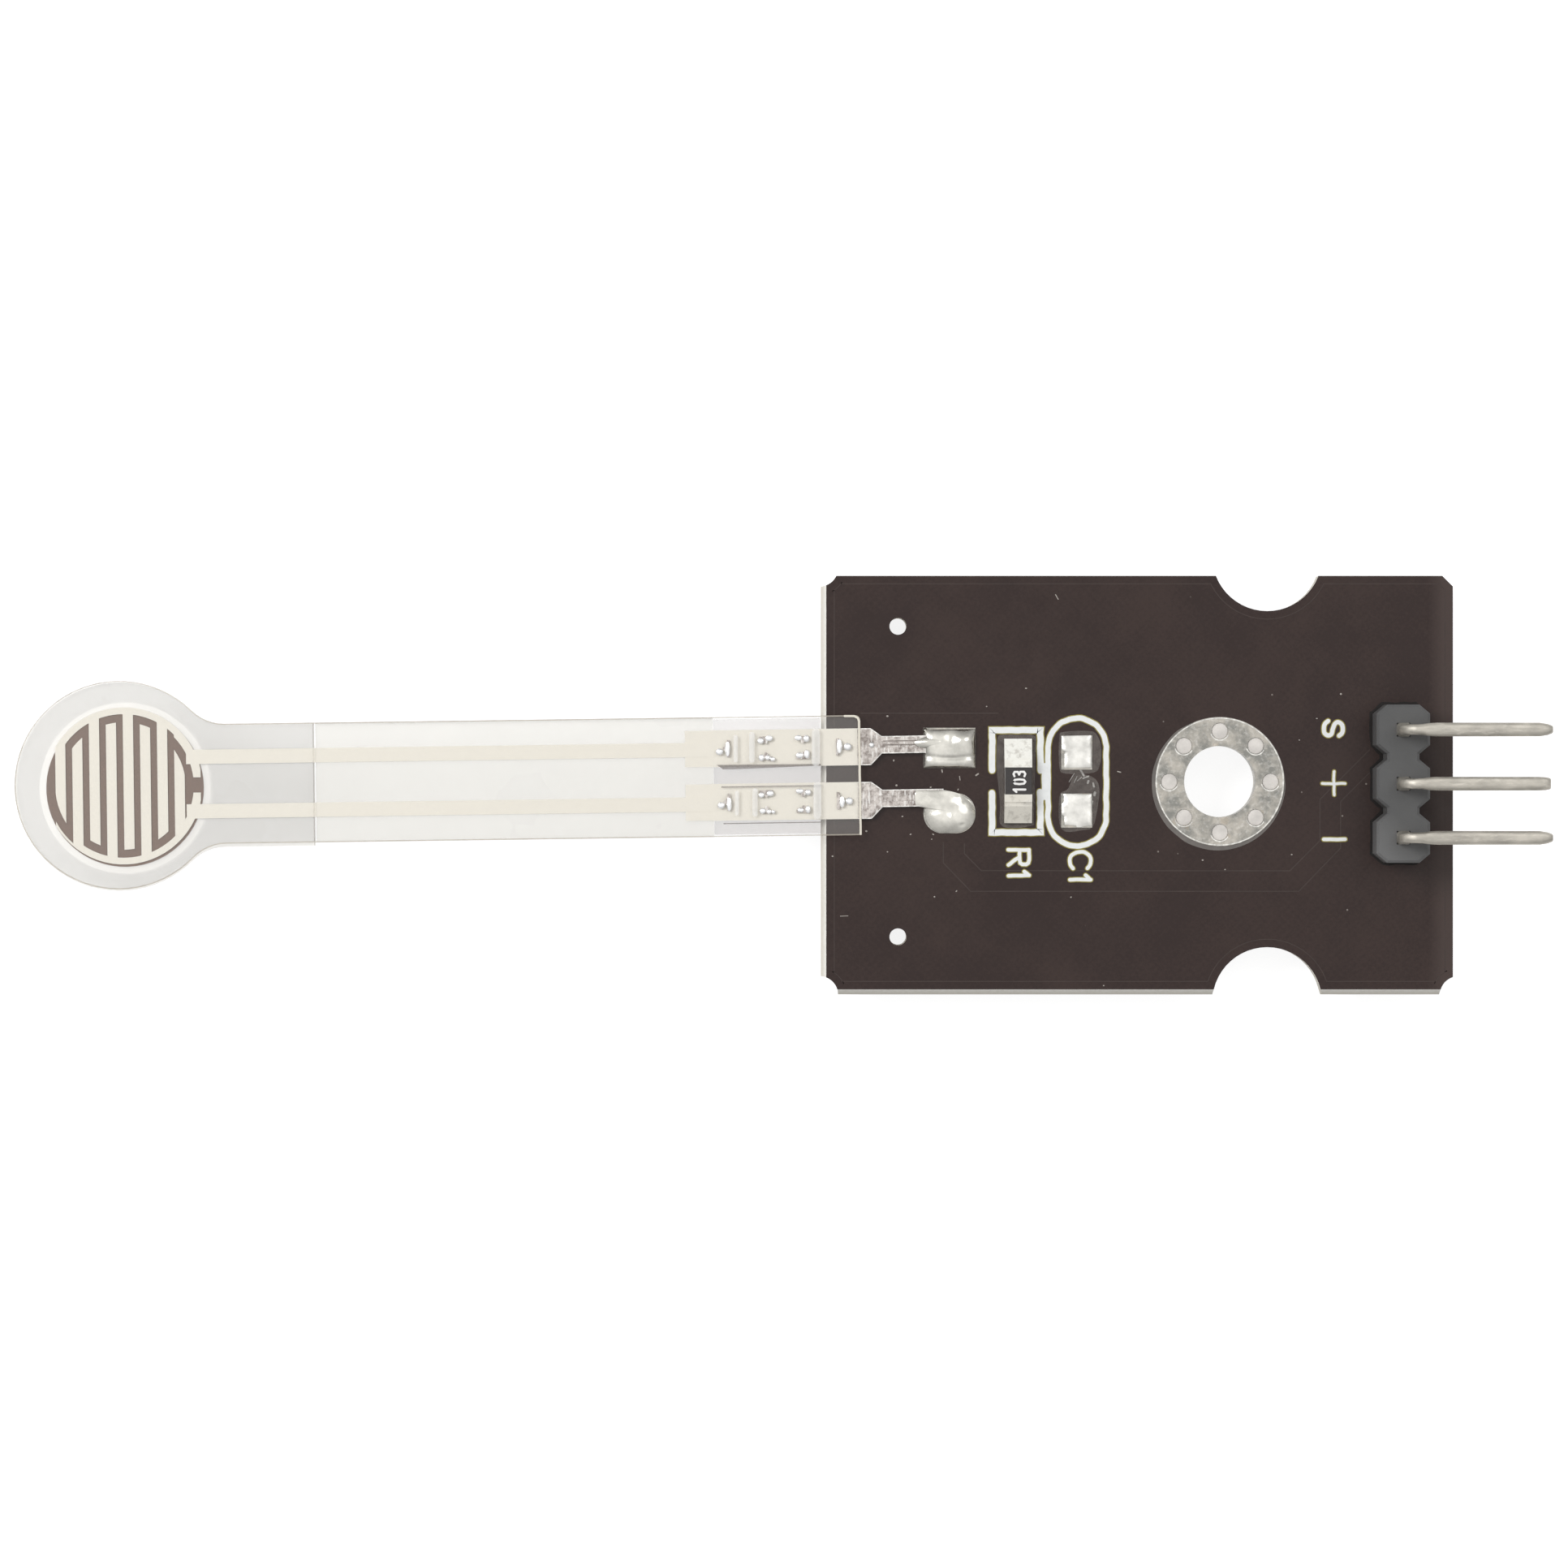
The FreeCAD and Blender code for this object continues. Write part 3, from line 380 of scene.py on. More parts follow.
def plated_chip_terminations(looks):
    """Nickel and tin plated on the ends of a chip: light and matt, with small dull pits, and painted
    light: brighter towards the upper end and greyer at the lower end."""
    look = Finish("plated_chip_terminations", METAL)
    # Painted light: the caps are painted brighter towards +Y and greyer towards -Y
    drift = look.cloud(0.6, to=(-0.9 * MM, 0.9 * MM))
    light = look.spread(look.sum("ADD", look.axes(look.where)["Y"], drift), -0.9 * MM, 1.2 * MM)
    shade = look.blend(light, linear("#d0ccc2"), linear("#e4e3dc"))
    pits = look.cloud(0.3, (0.5, 0.68), (0.0, 0.6), 4.0, 0.62)
    shade = look.blend(pits, shade, darker(looks.tin, 0.8))
    return look.paint(shade, look.spread(pits, 0.0, 1.0, 0.36, 0.5), pits, 0.008)


def reflowed_solder(looks):
    """Tin-lead solder as it froze: bright, slightly cloudy, with a soft uneven skin."""
    look = Finish("reflowed_solder", METAL)
    shade = look.blend(look.cloud(0.8, (0.35, 0.68)), darker(looks.solder, 0.68), looks.solder)
    return look.paint(shade, look.cloud(0.5, to=(0.16, 0.28), detail=2.0), look.noise(0.9, 2.0), 0.03)


def drawn_tinned_brass(looks):
    """Square brass wire, drawn and tin-plated: a warm grey with streaks along its length."""
    look = Finish("drawn_tinned_brass", METAL)
    look.stretch((0.3, 1.0, 1.0))
    streak = look.cloud(0.42, (0.34, 0.66), detail=4.0, rough=0.62)
    shade = look.blend(streak, darker(looks.pin, 0.68), looks.pin)
    shade = look.blend(look.cloud(0.2, (0.56, 0.68), (0.0, 0.3)), shade, linear("#e3ded4"))
    return look.paint(shade, look.cloud(0.2, to=(0.44, 0.6)), look.noise(0.2), 0.005)


def stamped_tinned_bronze(looks):
    """Thin bronze strip, stamped and tin-plated: grey with fine scratches and faint pink wear."""
    look = Finish("stamped_tinned_bronze", METAL)
    worn = look.cloud(0.35, (0.36, 0.6), detail=5.0, rough=0.75)
    shade = look.blend(worn, linear("#857c77"), looks.terminal)
    rough, height = look.cloud(0.25, to=(0.2, 0.4)), look.noise(0.3)
    look.stretch((1.0, 0.15, 1.0), 0.9)
    shade = look.blend(look.cloud(0.1, (0.54, 0.64), (0.0, 0.7), 3.0, 0.6), shade, linear("#f0eeea"))
    return look.paint(shade, rough, height, 0.012)


def metal_mark(name, tint, depth):
    """Plated metal for small marks: painted highlights on the rims of the ring and the vias, on the
    turned-over tips and on a dimple; a bright line along the sheared edges of the strips; and painted
    shade in the grooves.
    """
    return plain(name, tint, depth, (0.25, 0.4), METAL, 0.2, span=(0.35, 0.65))


# Finishes of the chip, the header and the films


def thick_film_resistor(high):
    """White alumina chip with a black glass overcoat on its top face only."""
    look = Finish("thick_film_resistor", {"IOR": 1.55})
    coat = look.spread(look.axes(look.where)["Z"], high - 0.02 * MM, high - 0.01 * MM)
    grain = look.cloud(0.12, detail=2.0)
    alumina = look.blend(grain, linear("#d8d6cf"), linear("#eceae4"))
    overcoat = look.blend(grain, linear("#1c1817"), linear("#282322"))
    return look.paint(look.blend(coat, alumina, overcoat), look.spread(grain, 0.0, 1.0, 0.34, 0.45))


def moulded_nylon(looks):
    """Glass-filled nylon, injection moulded: slate grey with a satin skin, and painted light that makes
    it paler towards its lower left.
    """
    look = Finish("moulded_nylon", {"IOR": 1.53})
    parts = look.axes(look.where)
    shade = look.blend(look.cloud(1.6), darker(looks.plastic, 0.86), looks.plastic)
    # Painted light: the block is painted paler towards its lower left, the side the light falls on
    lit_lower_left = look.spread(look.sum("ADD", parts["X"], parts["Y"]), 6.5 * MM, 3.4 * MM, 0.0, 0.5)
    shade = look.blend(lit_lower_left, shade, linear("#7a7a7a"))
    return look.paint(shade, look.cloud(0.2, to=(0.42, 0.55), detail=2.0), look.noise(0.09, 2.0), 0.004)


def polyester_film(name, tint, haze, feature):
    """Biaxially drawn polyester film, heat-stabilised: smooth and glossy, with a slight haze."""
    return plain(name, tint, 0.96, (0.24, 0.34), {"IOR": 1.6, "Alpha": haze}, feature)


def screen_printed_silver(looks):
    """Silver-loaded polymer ink, screen printed: pale cream and matt, with the grain of the mesh."""
    return plain("screen_printed_silver", looks.silver, 0.94, (0.5, 0.62), INK, 0.1, 0.002)


def screen_printed_carbon(looks):
    """Carbon-loaded pressure ink, screen printed: a matt warm brown with fine grain."""
    return plain("screen_printed_carbon", looks.carbon, 0.8, (0.7, 0.8), INK, 0.12, 0.003)


def dress(material, *nodes):
    """Gives CAD nodes a material."""
    for name in nodes:
        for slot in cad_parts[name].material_slots:
            slot.link = "OBJECT"
            slot.material = material


# Meshes


def enter(name, mesh, material, replaces=()):
    """Adds a mesh to the scene as a piece that rides on the board."""
    item = bpy.data.objects.new(name, mesh)
    bpy.context.scene.collection.objects.link(item)
    mesh.materials.clear()
    mesh.materials.append(material)
    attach(item, BODY)
    for node in replaces:
        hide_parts(node)
    return item


def piece(name, slot_name, material, *shapes, replaces=(), soft=False):
    """A new piece from shapes. Each holds a function that adds to a bmesh, and its values."""
    mesh = bpy.data.meshes.new(name)
    work = bmesh.new()
    for build, *values in shapes:
        build(work, *values)
    bmesh.ops.recalc_face_normals(work, faces=work.faces)
    for face in work.faces:
        face.smooth = soft
    work.to_mesh(mesh)
    work.free()
    return enter(name, mesh, material, replaces)


def layer(name, node, slot_name, material, *moves):
    """A copy of a layer whose faces at some heights are moved a hair, so that no two layers' faces
    fall together where one of them is clear. Each move holds a height and a step, in millimetres."""
    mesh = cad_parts[node].data.copy()
    for vertex in mesh.vertices:
        for height, step in moves:
            if abs(vertex.co.z - height * MM) < NEAR:
                vertex.co.z += step * MM
                break
    return enter(name, mesh, material, (node,))


def pressed(name, node, material, height, end):
    """A copy of a terminal whose prongs are pressed flat on the film, and whose far end stops under
    the solder at an X in metres."""
    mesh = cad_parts[node].data.copy()
    for vertex in mesh.vertices:
        if vertex.co.z > height:
            vertex.co.z = height + (vertex.co.z - height) * 0.03
        vertex.co.x = min(vertex.co.x, end)
    return enter(name, mesh, material, (node,))


def points(*pairs):
    """Points in metres from pairs in millimetres."""
    return [Vector(pair) * MM for pair in pairs]


def arc(centre, radius, start, end, steps=12):
    """Points along an arc, with angles in degrees."""
    turns = [math.radians(start + (end - start) * n / steps) for n in range(steps + 1)]
    return [Vector((centre[0] + radius * math.cos(t), centre[1] + radius * math.sin(t))) for t in turns]


def circle(centre, radius, steps):
    """Points round a circle."""
    return arc(centre, radius, 0, 360, steps)[:-1]


def smooth(path, steps=6, closed=False):
    """A Catmull-Rom curve through points."""
    path = [Vector(p) for p in path]
    if closed:
        ends = [path[-1]] + path + path[:2]
    else:
        ends = [2 * path[0] - path[1]] + path + [2 * path[-1] - path[-2]]
    curve = []
    for a, b, c, d in zip(ends, ends[1:], ends[2:], ends[3:]):
        for n in range(steps):
            t = n / steps
            cubic = (3 * b - a - 3 * c + d) * t**3 + (2 * a - 5 * b + 4 * c - d) * t**2
            curve.append(0.5 * (2 * b + (c - a) * t + cubic))
    return curve if closed else curve + [path[-1]]


def refine(path, step, closed=False):
    """The path with points no further apart than a step."""
    runs = list(zip(path, path[1:] + path[:1]))
    result = []
    for a, b in runs if closed else runs[:-1]:
        count = max(1, math.ceil((b - a).length / step))
        result += [a.lerp(b, n / count) for n in range(count)]
    return result if closed else result + [path[-1]]


def uneven(place, feature, depth, seed=0.0):
    """A smooth uneven height in metres, with waves of a size and of a depth in millimetres."""
    return noise.noise(Vector((place.x / (feature * MM), place.y / (feature * MM), seed))) * depth * MM


def waver(path, feature, depth):
    """A path that wavers a little, as ink does on a woven screen."""
    return [p + Vector((uneven(p, feature, depth), uneven(p, feature, depth, 7.0))) for p in path]


def sideways(path, closed):
    """The normal to the left at each point of a path, drawn out where the path turns a corner."""
    result = []
    count = len(path)
    for n, point in enumerate(path):
        before = path[n - 1] if closed or n > 0 else None
        after = path[(n + 1) % count] if closed or n < count - 1 else None
        runs = [(b - a).normalized() for a, b in ((before, point), (point, after)) if a and b]
        along = sum(runs, Vector((0, 0))).normalized()
        across = Vector((-along.y, along.x))
        side = Vector((-runs[0].y, runs[0].x))
        result.append(across / max(0.5, across.dot(side)))
    return result


def skin(work, loops, closed=True):
    """Faces between each loop of corners and the next."""
    count = len(loops[0])
    for a, b in zip(loops, loops[1:]):
        for n in range(count if closed else count - 1):
            m = (n + 1) % count
            work.faces.new((a[n], a[m], b[m], b[n]))


def prism(work, outline, base, thick):
    """A closed solid on a base from a flat outline, with a thickness in millimetres."""
    loops = [[work.verts.new((p.x, p.y, z)) for p in outline] for z in (base, base + thick * MM)]
    work.faces.new(loops[0][::-1])
    work.faces.new(loops[1])
    skin(work, loops)


def band(work, path, width, base, thick, closed=False, shift=0.0):
    """A solid ribbon on a base along a path: a closed ring, or a stroke with round ends.

    Its width, its thickness and its shift to the left of the path are in millimetres.
    """
    half, shift = width * MM / 2, shift * MM
    sides = zip(path, sideways(path, closed))
    rows = [(p + n * (shift + half), p + n * (shift - half)) for p, n in sides]
    if not closed:
        for along, end in ((path[0] - path[1], 0), (path[-1] - path[-2], -1)):
            along = along.normalized()
            middle = (rows[end][0] + rows[end][1]) / 2
            side = (rows[end][0] - rows[end][1]).normalized()
            for turn in (30, 55, 75):
                reach, lean = (half * f(math.radians(turn)) for f in (math.sin, math.cos))
                row = (middle + along * reach + side * lean, middle + along * reach - side * lean)
                rows.insert(0 if end == 0 else len(rows), row)
    corners = ((0, base), (1, base), (1, base + thick * MM), (0, base + thick * MM))
    rails = [[work.verts.new((row[k].x, row[k].y, z)) for row in rows] for k, z in corners]
    skin(work, rails + rails[:1], closed)
    if not closed:
        work.faces.new([rail[0] for rail in rails])
        work.faces.new([rail[-1] for rail in rails][::-1])


def rim(node, height):
    """The outer edge of a node's level faces at a height in metres, as a closed path.

    It runs anticlockwise, so a ribbon with a positive shift lies inside it.
    """
    work = bmesh.new()
    work.from_mesh(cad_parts[node].data)
    bmesh.ops.remove_doubles(work, verts=work.verts, dist=1e-7)
    flat = [face for face in work.faces if abs(face.normal.z) > 0.99]
    level = {face for face in flat if abs(face.calc_center_median().z - height) < NEAR}
    links = {}
    for edge in work.edges:
        if sum(face in level for face in edge.link_faces) == 1:
            for a, b in (edge.verts, reversed(edge.verts)):
                links.setdefault(a, []).append(b)
    loops = []
    while links:
        loop = [next(iter(links))]
        following = links.pop(loop[0])
        while following:
            loop.append(following[0])
            following = [v for v in links.pop(following[0]) if v in links]
        loops.append([Vector((v.co.x, v.co.y)) for v in loop])
    work.free()
    loop = max(loops, key=lambda path: max(p.x for p in path) - min(p.x for p in path))
    area = sum(a.x * b.y - b.x * a.y for a, b in zip(loop, loop[1:] + loop[:1]))
    return loop if area > 0 else loop[::-1]


def mound(work, outline, centre, base, crown, rings=12):
    """A closed mound: rings step in from an outline to a centre, closest together at the outline,
    and a crown function of the place and of the share of the way in gives their height."""
    centre = Vector(centre)
    loops = [[work.verts.new((p.x, p.y, base - 0.002 * MM)) for p in outline]]
    for k in range(rings):
        t = (k / rings) ** 1.5
        places = [p.lerp(centre, t) for p in outline]
        loops.append([work.verts.new((q.x, q.y, base + crown(q, t))) for q in places])
    top = work.verts.new((centre.x, centre.y, base + crown(centre, 1.0)))
    work.faces.new(loops[0][::-1])
    skin(work, loops)
    for a, b in zip(loops[-1], loops[-1][1:] + loops[-1][:1]):
        work.faces.new((a, b, top))


def button(place, base, height, sides):
    """A small round dome on a base, with its place and height in millimetres, as a shape for a
    piece."""
    centre = Vector(place) * MM
    outline = circle(centre, 0.13 * MM, sides)
    return mound, outline, centre, base, lambda q, t: height * MM * math.sin(t * 1.57), 6


def on_sensor(x, y):
    """A place on the board, in metres, of a point of the film sensor in millimetres."""
    looks = bpy.context.scene.sensor_looks
    turned = Matrix.Rotation(looks.turn, 2) @ Vector((x, y))
    return (turned + Vector((looks.head_x, looks.head_y))) * MM


# Board


# Both edges of the trace that joins the lower sensor land to the middle pin, and one edge of the
# trace to the upper land, in millimetres
TRACES = (
    ((-13.1, -2.9), (-13.1, -3.85), (-11.8, -5.2), (3.75, -5.2), (5.73, -3.15), (5.73, -0.95),
     (7.1, 0.42)),
    ((-12.1, -2.96), (-12.1, -3.42), (-11.3, -4.22), (3.32, -4.23), (4.75, -2.8), (4.75, -0.85),
     (7.1, 1.5)),
    ((-17.0, 3.24), (-10.5, 3.24)),
)


class SENSOR_OT_board(bpy.types.Operator):
    """Finish the board and the mounting ring, and raise the mask over the buried copper"""

    bl_idname = "sensor.board"
    bl_label = "Circuit board"

    def execute(self, context):
        looks = context.scene.board_looks
        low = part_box("circuit_board")[0]
        dress(liquid_mask_on_glass_epoxy(looks, BOARD_TOP, low.z), "circuit_board")
        levelled = tin_levelled_copper(context.scene.metal_looks)
        dress(levelled, "mounting_ring", "sensor_pads", "header_lands", "resistor_pads",
              "capacitor_pads")

        # The edges of two traces, and the edge of the copper that fills the rest of the board
        edges = [(band, points(*path), 0.05, BOARD_TOP, 0.004) for path in TRACES]
        edges.append((band, rim("circuit_board", BOARD_TOP), 0.04, BOARD_TOP, 0.004, True, 0.38))
        thin = resin_and_painted_shade("mask_thinned_over_copper_edge", darker(looks.mask_edge, 0.85), 0.4)
        piece("copper_edges_under_mask", "solder_mask", thin, *edges)

        # The mask stands a little back from the ring, most at its lower left
        step = waver(circle((-0.06 * MM, -0.1 * MM), 3.04 * MM, 96), 0.8, 0.03)
        bare = resin_and_painted_shade("bare_step_round_ring", linear("#726d69"), 0.35)
        piece("mask_step_round_ring", "solder_mask", bare, (band, step, 0.24, BOARD_TOP, 0.006, True))

        # Pale grey discs fill the vias to just under the land: painted shade of the table seen through
        # the open holes
        ring, row, lip, hole = (radius * MM for radius in (3.01, 2.4, 0.44, 0.398))
        vias = circle((0, 0), row, 8)
        # Painted highlights: a bright line round the ring, and bright arcs on the lower rims of the
        # vias, where the rounded tin catches the light from above
        rims = [(band, circle((0, 0), ring, 96), 0.05, LAND_TOP, 0.005, True)]
        rims += [(band, arc(via, lip, 200, 330, 16), 0.05, LAND_TOP, 0.005) for via in vias]
        deep = 0.02 * MM
        via_shades = [
            (mound, circle(via, hole, 24), via, BOARD_TOP - deep, lambda q, t: deep * t, 4)
            for via in vias
        ]
        bright = metal_mark("painted_highlight_on_the_rims", linear("#e9e7e1"), 0.6)
        piece("rim_highlights", "plated_copper", bright, *rims)
        resin = resin_and_painted_shade("painted_shade_in_the_vias", linear("#e4dfd9"), 0.5)
        piece("via_shade_discs", "solder_mask", resin, *via_shades, soft=True)
        return {"FINISHED"}


# Legend

GLYPHS = {
    # Strokes of each mark, one unit high, with x to the right and y up
    "R": [[(0, 0), (0, 1)],
          [(0, 1), (0.5, 1), (0.63, 0.96), (0.7, 0.85), (0.7, 0.68), (0.63, 0.57), (0.5, 0.53),
           (0, 0.53)],
          [(0.36, 0.53), (0.72, 0)]],
    "C": [[(0.78, 0.83), (0.62, 0.97), (0.4, 1.0), (0.18, 0.93), (0.03, 0.73), (0.0, 0.5),
           (0.03, 0.27), (0.18, 0.07), (0.4, 0.0), (0.62, 0.03), (0.78, 0.16)]],
    "S": [[(0.9, 0.82), (0.76, 0.97), (0.52, 1.02), (0.24, 0.96), (0.13, 0.76), (0.24, 0.57),
           (0.5, 0.49), (0.78, 0.4), (0.88, 0.2), (0.74, 0.02), (0.48, -0.03), (0.22, 0.03),
           (0.08, 0.2)]],
    "1": [[(0, 0.76), (0.2, 0.98)], [(0.2, 1), (0.2, 0)]],
    "0": [[(0.2, 1), (0.04, 0.88), (0, 0.5), (0.04, 0.12), (0.2, 0), (0.36, 0.12), (0.4, 0.5),
           (0.36, 0.88), (0.2, 1)]],
    "3": [[(0, 0.92), (0.2, 1), (0.37, 0.9), (0.37, 0.64), (0.14, 0.53)],
          [(0.14, 0.53), (0.38, 0.42), (0.38, 0.12), (0.2, 0), (0, 0.08)]],
}


def glyph(strokes, origin, scale, turn, curved=False):
    """Strokes of a mark, scaled, turned in degrees and moved to the board."""
    rotation = Matrix.Rotation(math.radians(turn), 2)
    placed = []
    for stroke in strokes:
        path = smooth(stroke, 4) if curved else [Vector(p) for p in stroke]
        placed.append([(rotation @ (p * scale) + Vector(origin)) * MM for p in path])
    return placed


def legend_strokes():
    """Every stroke of the legend, as a path, a width in millimetres and whether it is closed."""

    # Bracket round the chip resistor in two halves, and the round-ended outline of the capacitor
    left, right = -10.79, -8.5
    lines = [
        (points((left, 0.53), (left, 2.44), (right, 2.44), (right, 0.52)), 0.39, False),
        (points((left, -0.54), (left, -2.41), (right, -2.41), (right, -0.5)), 0.39, False),
    ]
    ends = arc((-6.76, 1.62), 1.38, 0, 180, 24) + arc((-6.76, -1.68), 1.38, 180, 360, 24)
    lines.append(([p * MM for p in ends], 0.34, True))

    # Part names and pin marks, turned to read downwards
    marks = (
        ("R", (-10.02, -3.23), 0.99, 0.26, False),
        ("1", (-10.02, -4.25), 0.99, 0.26, False),
        ("C", (-7.11, -3.34), 1.0, 0.26, True),
        ("1", (-7.11, -4.44), 1.0, 0.26, False),
        ("S", (4.96, 2.93), 0.85, 0.29, True),
    )
    for name, origin, scale, width, curved in marks:
        lines += [(path, width, False) for path in glyph(GLYPHS[name], origin, scale, -90, curved)]

    # Plus, minus, and a stroke where the outlines of the chip and the capacitor run together
    for start, end, width in (
        ((4.86, -0.09), (5.95, -0.09), 0.22),
        ((5.42, 0.47), (5.42, -0.65), 0.22),
        ((4.93, -2.74), (5.95, -2.74), 0.26),
        ((-8.3, 0.75), (-8.3, -0.75), 0.36),
    ):
        lines.append((points(start, end), width, False))
    return [
        (waver(refine(path, 0.12 * MM, closed), 0.35, 0.03), width, closed)
        for path, width, closed in lines
    ]


class SENSOR_OT_legend(bpy.types.Operator):
    """Print the component outlines and the pin marks on the board"""

    bl_idname = "sensor.legend"
    bl_label = "Legend"

    def execute(self, context):
        looks = context.scene.board_looks
        ink, bleed = [], []
        for n, (path, width, closed) in enumerate(legend_strokes()):
            high, narrow = looks.print_height, width - 2 * looks.fringe_width
            ink.append((band, path, narrow, BOARD_TOP, high + n * LIFT, closed))
            bleed.append((band, path, width, BOARD_TOP, high / 2 + n * LIFT, closed))
        white = epoxy_legend_ink("epoxy_legend_ink", looks.print_white)
        olive = epoxy_legend_ink("thin_legend_bleed", looks.print_fringe)
        piece("legend_ink", "solder_mask", white, *ink)
        piece("legend_bleed", "solder_mask", olive, *bleed)
        return {"FINISHED"}


# Dust and flux


def flecks(rows, height):
    """Short strokes on the board, up to a height in millimetres.

    Each row holds X, Y, a length and a width in millimetres, and an angle in degrees.
    """
    shapes = []
    for n, (x, y, long, wide, angle) in enumerate(rows):
        middle = Vector((x, y))
        run = Matrix.Rotation(math.radians(angle), 2) @ Vector((max(long - wide, 0.01) / 2, 0))
        path = [(middle - run) * MM, (middle + run) * MM]
        shapes.append((band, path, wide, BOARD_TOP, height + n * LIFT / 2))
    return shapes


# Dust and scratches
SPECKS = (
    (-15.32, -0.18, 0.09, 0.09, 0), (-15.45, 1.0, 0.1, 0.06, 80), (-13.16, 0.5, 0.17, 0.06, 100),
    (-12.32, 0.16, 0.22, 0.04, 98), (-11.5, 0.33, 0.2, 0.07, 35), (-13.7, -0.27, 0.09, 0.06, 20),
    (-12.4, -0.38, 0.1, 0.05, 60), (-15.04, -1.65, 0.09, 0.06, 10), (-14.65, -2.5, 0.09, 0.06, 30),
    (-13.58, -2.5, 0.1, 0.05, 150), (-16.75, -2.35, 0.1, 0.08, 0), (-9.18, 4.42, 0.1, 0.06, 0),
    (-11.05, 3.56, 0.07, 0.05, 0), (-4.77, 0.46, 0.2, 0.05, 165), (-15.75, 3.1, 0.1, 0.08, 0),
    (-7.72, 8.75, 0.3, 0.04, 120), (-18.35, -3.54, 0.09, 0.07, 0), (-15.75, -3.33, 0.07, 0.05, 0),
    (-13.52, -5.46, 0.08, 0.07, 0), (-12.48, -5.19, 0.09, 0.05, 45), (-17.8, -6.37, 0.4, 0.03, 2),
    (-5.5, -9.67, 0.07, 0.06, 0), (5.74, 4.15, 0.1, 0.09, 0), (3.77, 1.97, 0.07, 0.05, 0),
    (4.6, 2.99, 0.08, 0.05, 0), (-0.81, -3.72, 0.09, 0.07, 0), (0.25, -4.17, 0.07, 0.05, 0),
    (3.41, -3.46, 0.08, 0.06, 0), (-7.05, -5.48, 0.08, 0.06, 30), (-13.65, -2.73, 0.06, 0.05, 0),
)


# Flakes of flux round the empty lands
FLAKES = (
    (-7.02, 0.18, 0.5, 0.035, 58), (-6.83, 0.1, 0.36, 0.03, 64), (-6.52, 0.42, 0.42, 0.09, 120),
    (-6.35, 0.2, 0.34, 0.07, 20), (-6.24, -0.02, 0.2, 0.1, 70), (-5.98, -0.16, 0.26, 0.09, 105),
    (-5.93, -0.58, 0.24, 0.12, 80), (-6.65, 0.12, 0.3, 0.03, 40), (-6.05, -1.1, 0.4, 0.05, 80),
)


# Outlines of the dried flux
PATCHES = (
    ((-7.6, 2.1), (-7.4, 2.35), (-6.3, 2.4), (-5.85, 2.25), (-5.62, 1.6), (-5.68, 0.8),
     (-6.0, 0.42), (-7.3, 0.38), (-7.6, 0.7)),
    ((-7.6, -0.7), (-7.2, -0.35), (-6.9, 0.3), (-6.5, 0.34), (-6.0, 0.2), (-5.72, -0.2),
     (-5.75, -1.0), (-6.0, -2.1), (-6.5, -2.3), (-7.5, -2.25)),
    ((-10.5, 2.15), (-8.75, 2.15), (-8.75, 1.0), (-8.8, -1.6), (-8.95, -2.1), (-10.3, -2.12),
     (-10.42, -1.0)),
)


class SENSOR_OT_dust(bpy.types.Operator):
    """Scatter the specks of dust, the scratches and the dried flux on the board"""

    bl_idname = "sensor.dust"
    bl_label = "Dust and flux"

    def execute(self, context):
        dust = epoxy_legend_ink("settled_dust", linear("#a19a93"))
        piece("settled_dust", "solder_mask", dust, *flecks(SPECKS, 0.012))
        scraped = rosin_flux("scraped_flux", linear("#e6e2dc"), 0.55)
        piece("flux_flakes", "solder", scraped, *flecks(FLAKES, 0.014))

        base = BOARD_TOP + 0.0002 * MM
        skins = [(prism, smooth(points(*patch), 5, True), base, 0.0028) for patch in PATCHES]
        piece("flux_haze", "solder", rosin_flux("dried_flux_haze", linear("#b4ada6"), 0.14), *skins)
        return {"FINISHED"}


# Chip resistor, solder and header


def coat_crown(q, t):
    """Height of the tin on an empty land: level, with a round edge."""
    return 0.075 * MM * (1 - (1 - t) ** 5) + uneven(q, 0.5, 0.02) * min(1, 4 * t)


class SENSOR_OT_chip(bpy.types.Operator):
    """Finish the chip resistor, print its value code and coat the empty lands"""

    bl_idname = "sensor.chip"
    bl_label = "Chip resistor"

    def execute(self, context):
        metals = context.scene.metal_looks
        low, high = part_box("chip_resistor_body")
        dress(thick_film_resistor(high.z), "chip_resistor_body")
        dress(plated_chip_terminations(metals), "chip_resistor_end_caps", "resistor_solder")
        middle = (low + high) / 2
        code = []
        for n, character in enumerate("103"):
            start = (middle.x / MM + 0.33, middle.y / MM - 0.52 + 0.37 * n)
            for k, path in enumerate(glyph(GLYPHS[character], start, 0.56, 90)):
                code.append((band, path, 0.1, high.z, 0.008 + k * LIFT))
        ink = epoxy_legend_ink("chip_value_ink", linear("#efeeec"))
        piece("chip_value_code", "chip_ceramic", ink, *code)

        # Each coat has a small lip on the left where the tin ran off, and the lower a tab below
        coats = []
        for outline in (
            ((-7.5, 2.17), (-6.1, 2.2), (-6.07, 0.66), (-7.38, 0.63), (-7.38, 1.42), (-7.5, 1.48)),
            ((-7.4, -0.57), (-6.08, -0.6), (-6.06, -2.1), (-6.52, -2.13), (-6.55, -2.18),
             (-6.78, -2.18), (-6.82, -2.1), (-7.36, -2.06), (-7.4, -1.62), (-7.5, -1.58),
             (-7.5, -1.05), (-7.4, -1.0)),
        ):
            fine = refine(points(*outline), 0.12 * MM, closed=True)
            coats.append((mound, fine, sum(fine, Vector((0, 0))) / len(fine), LAND_TOP, coat_crown))
        tin = hot_dipped_tin(metals)
        piece("tinned_coats", "solder", tin, *coats, replaces=("capacitor_tinning",), soft=True)
        return {"FINISHED"}


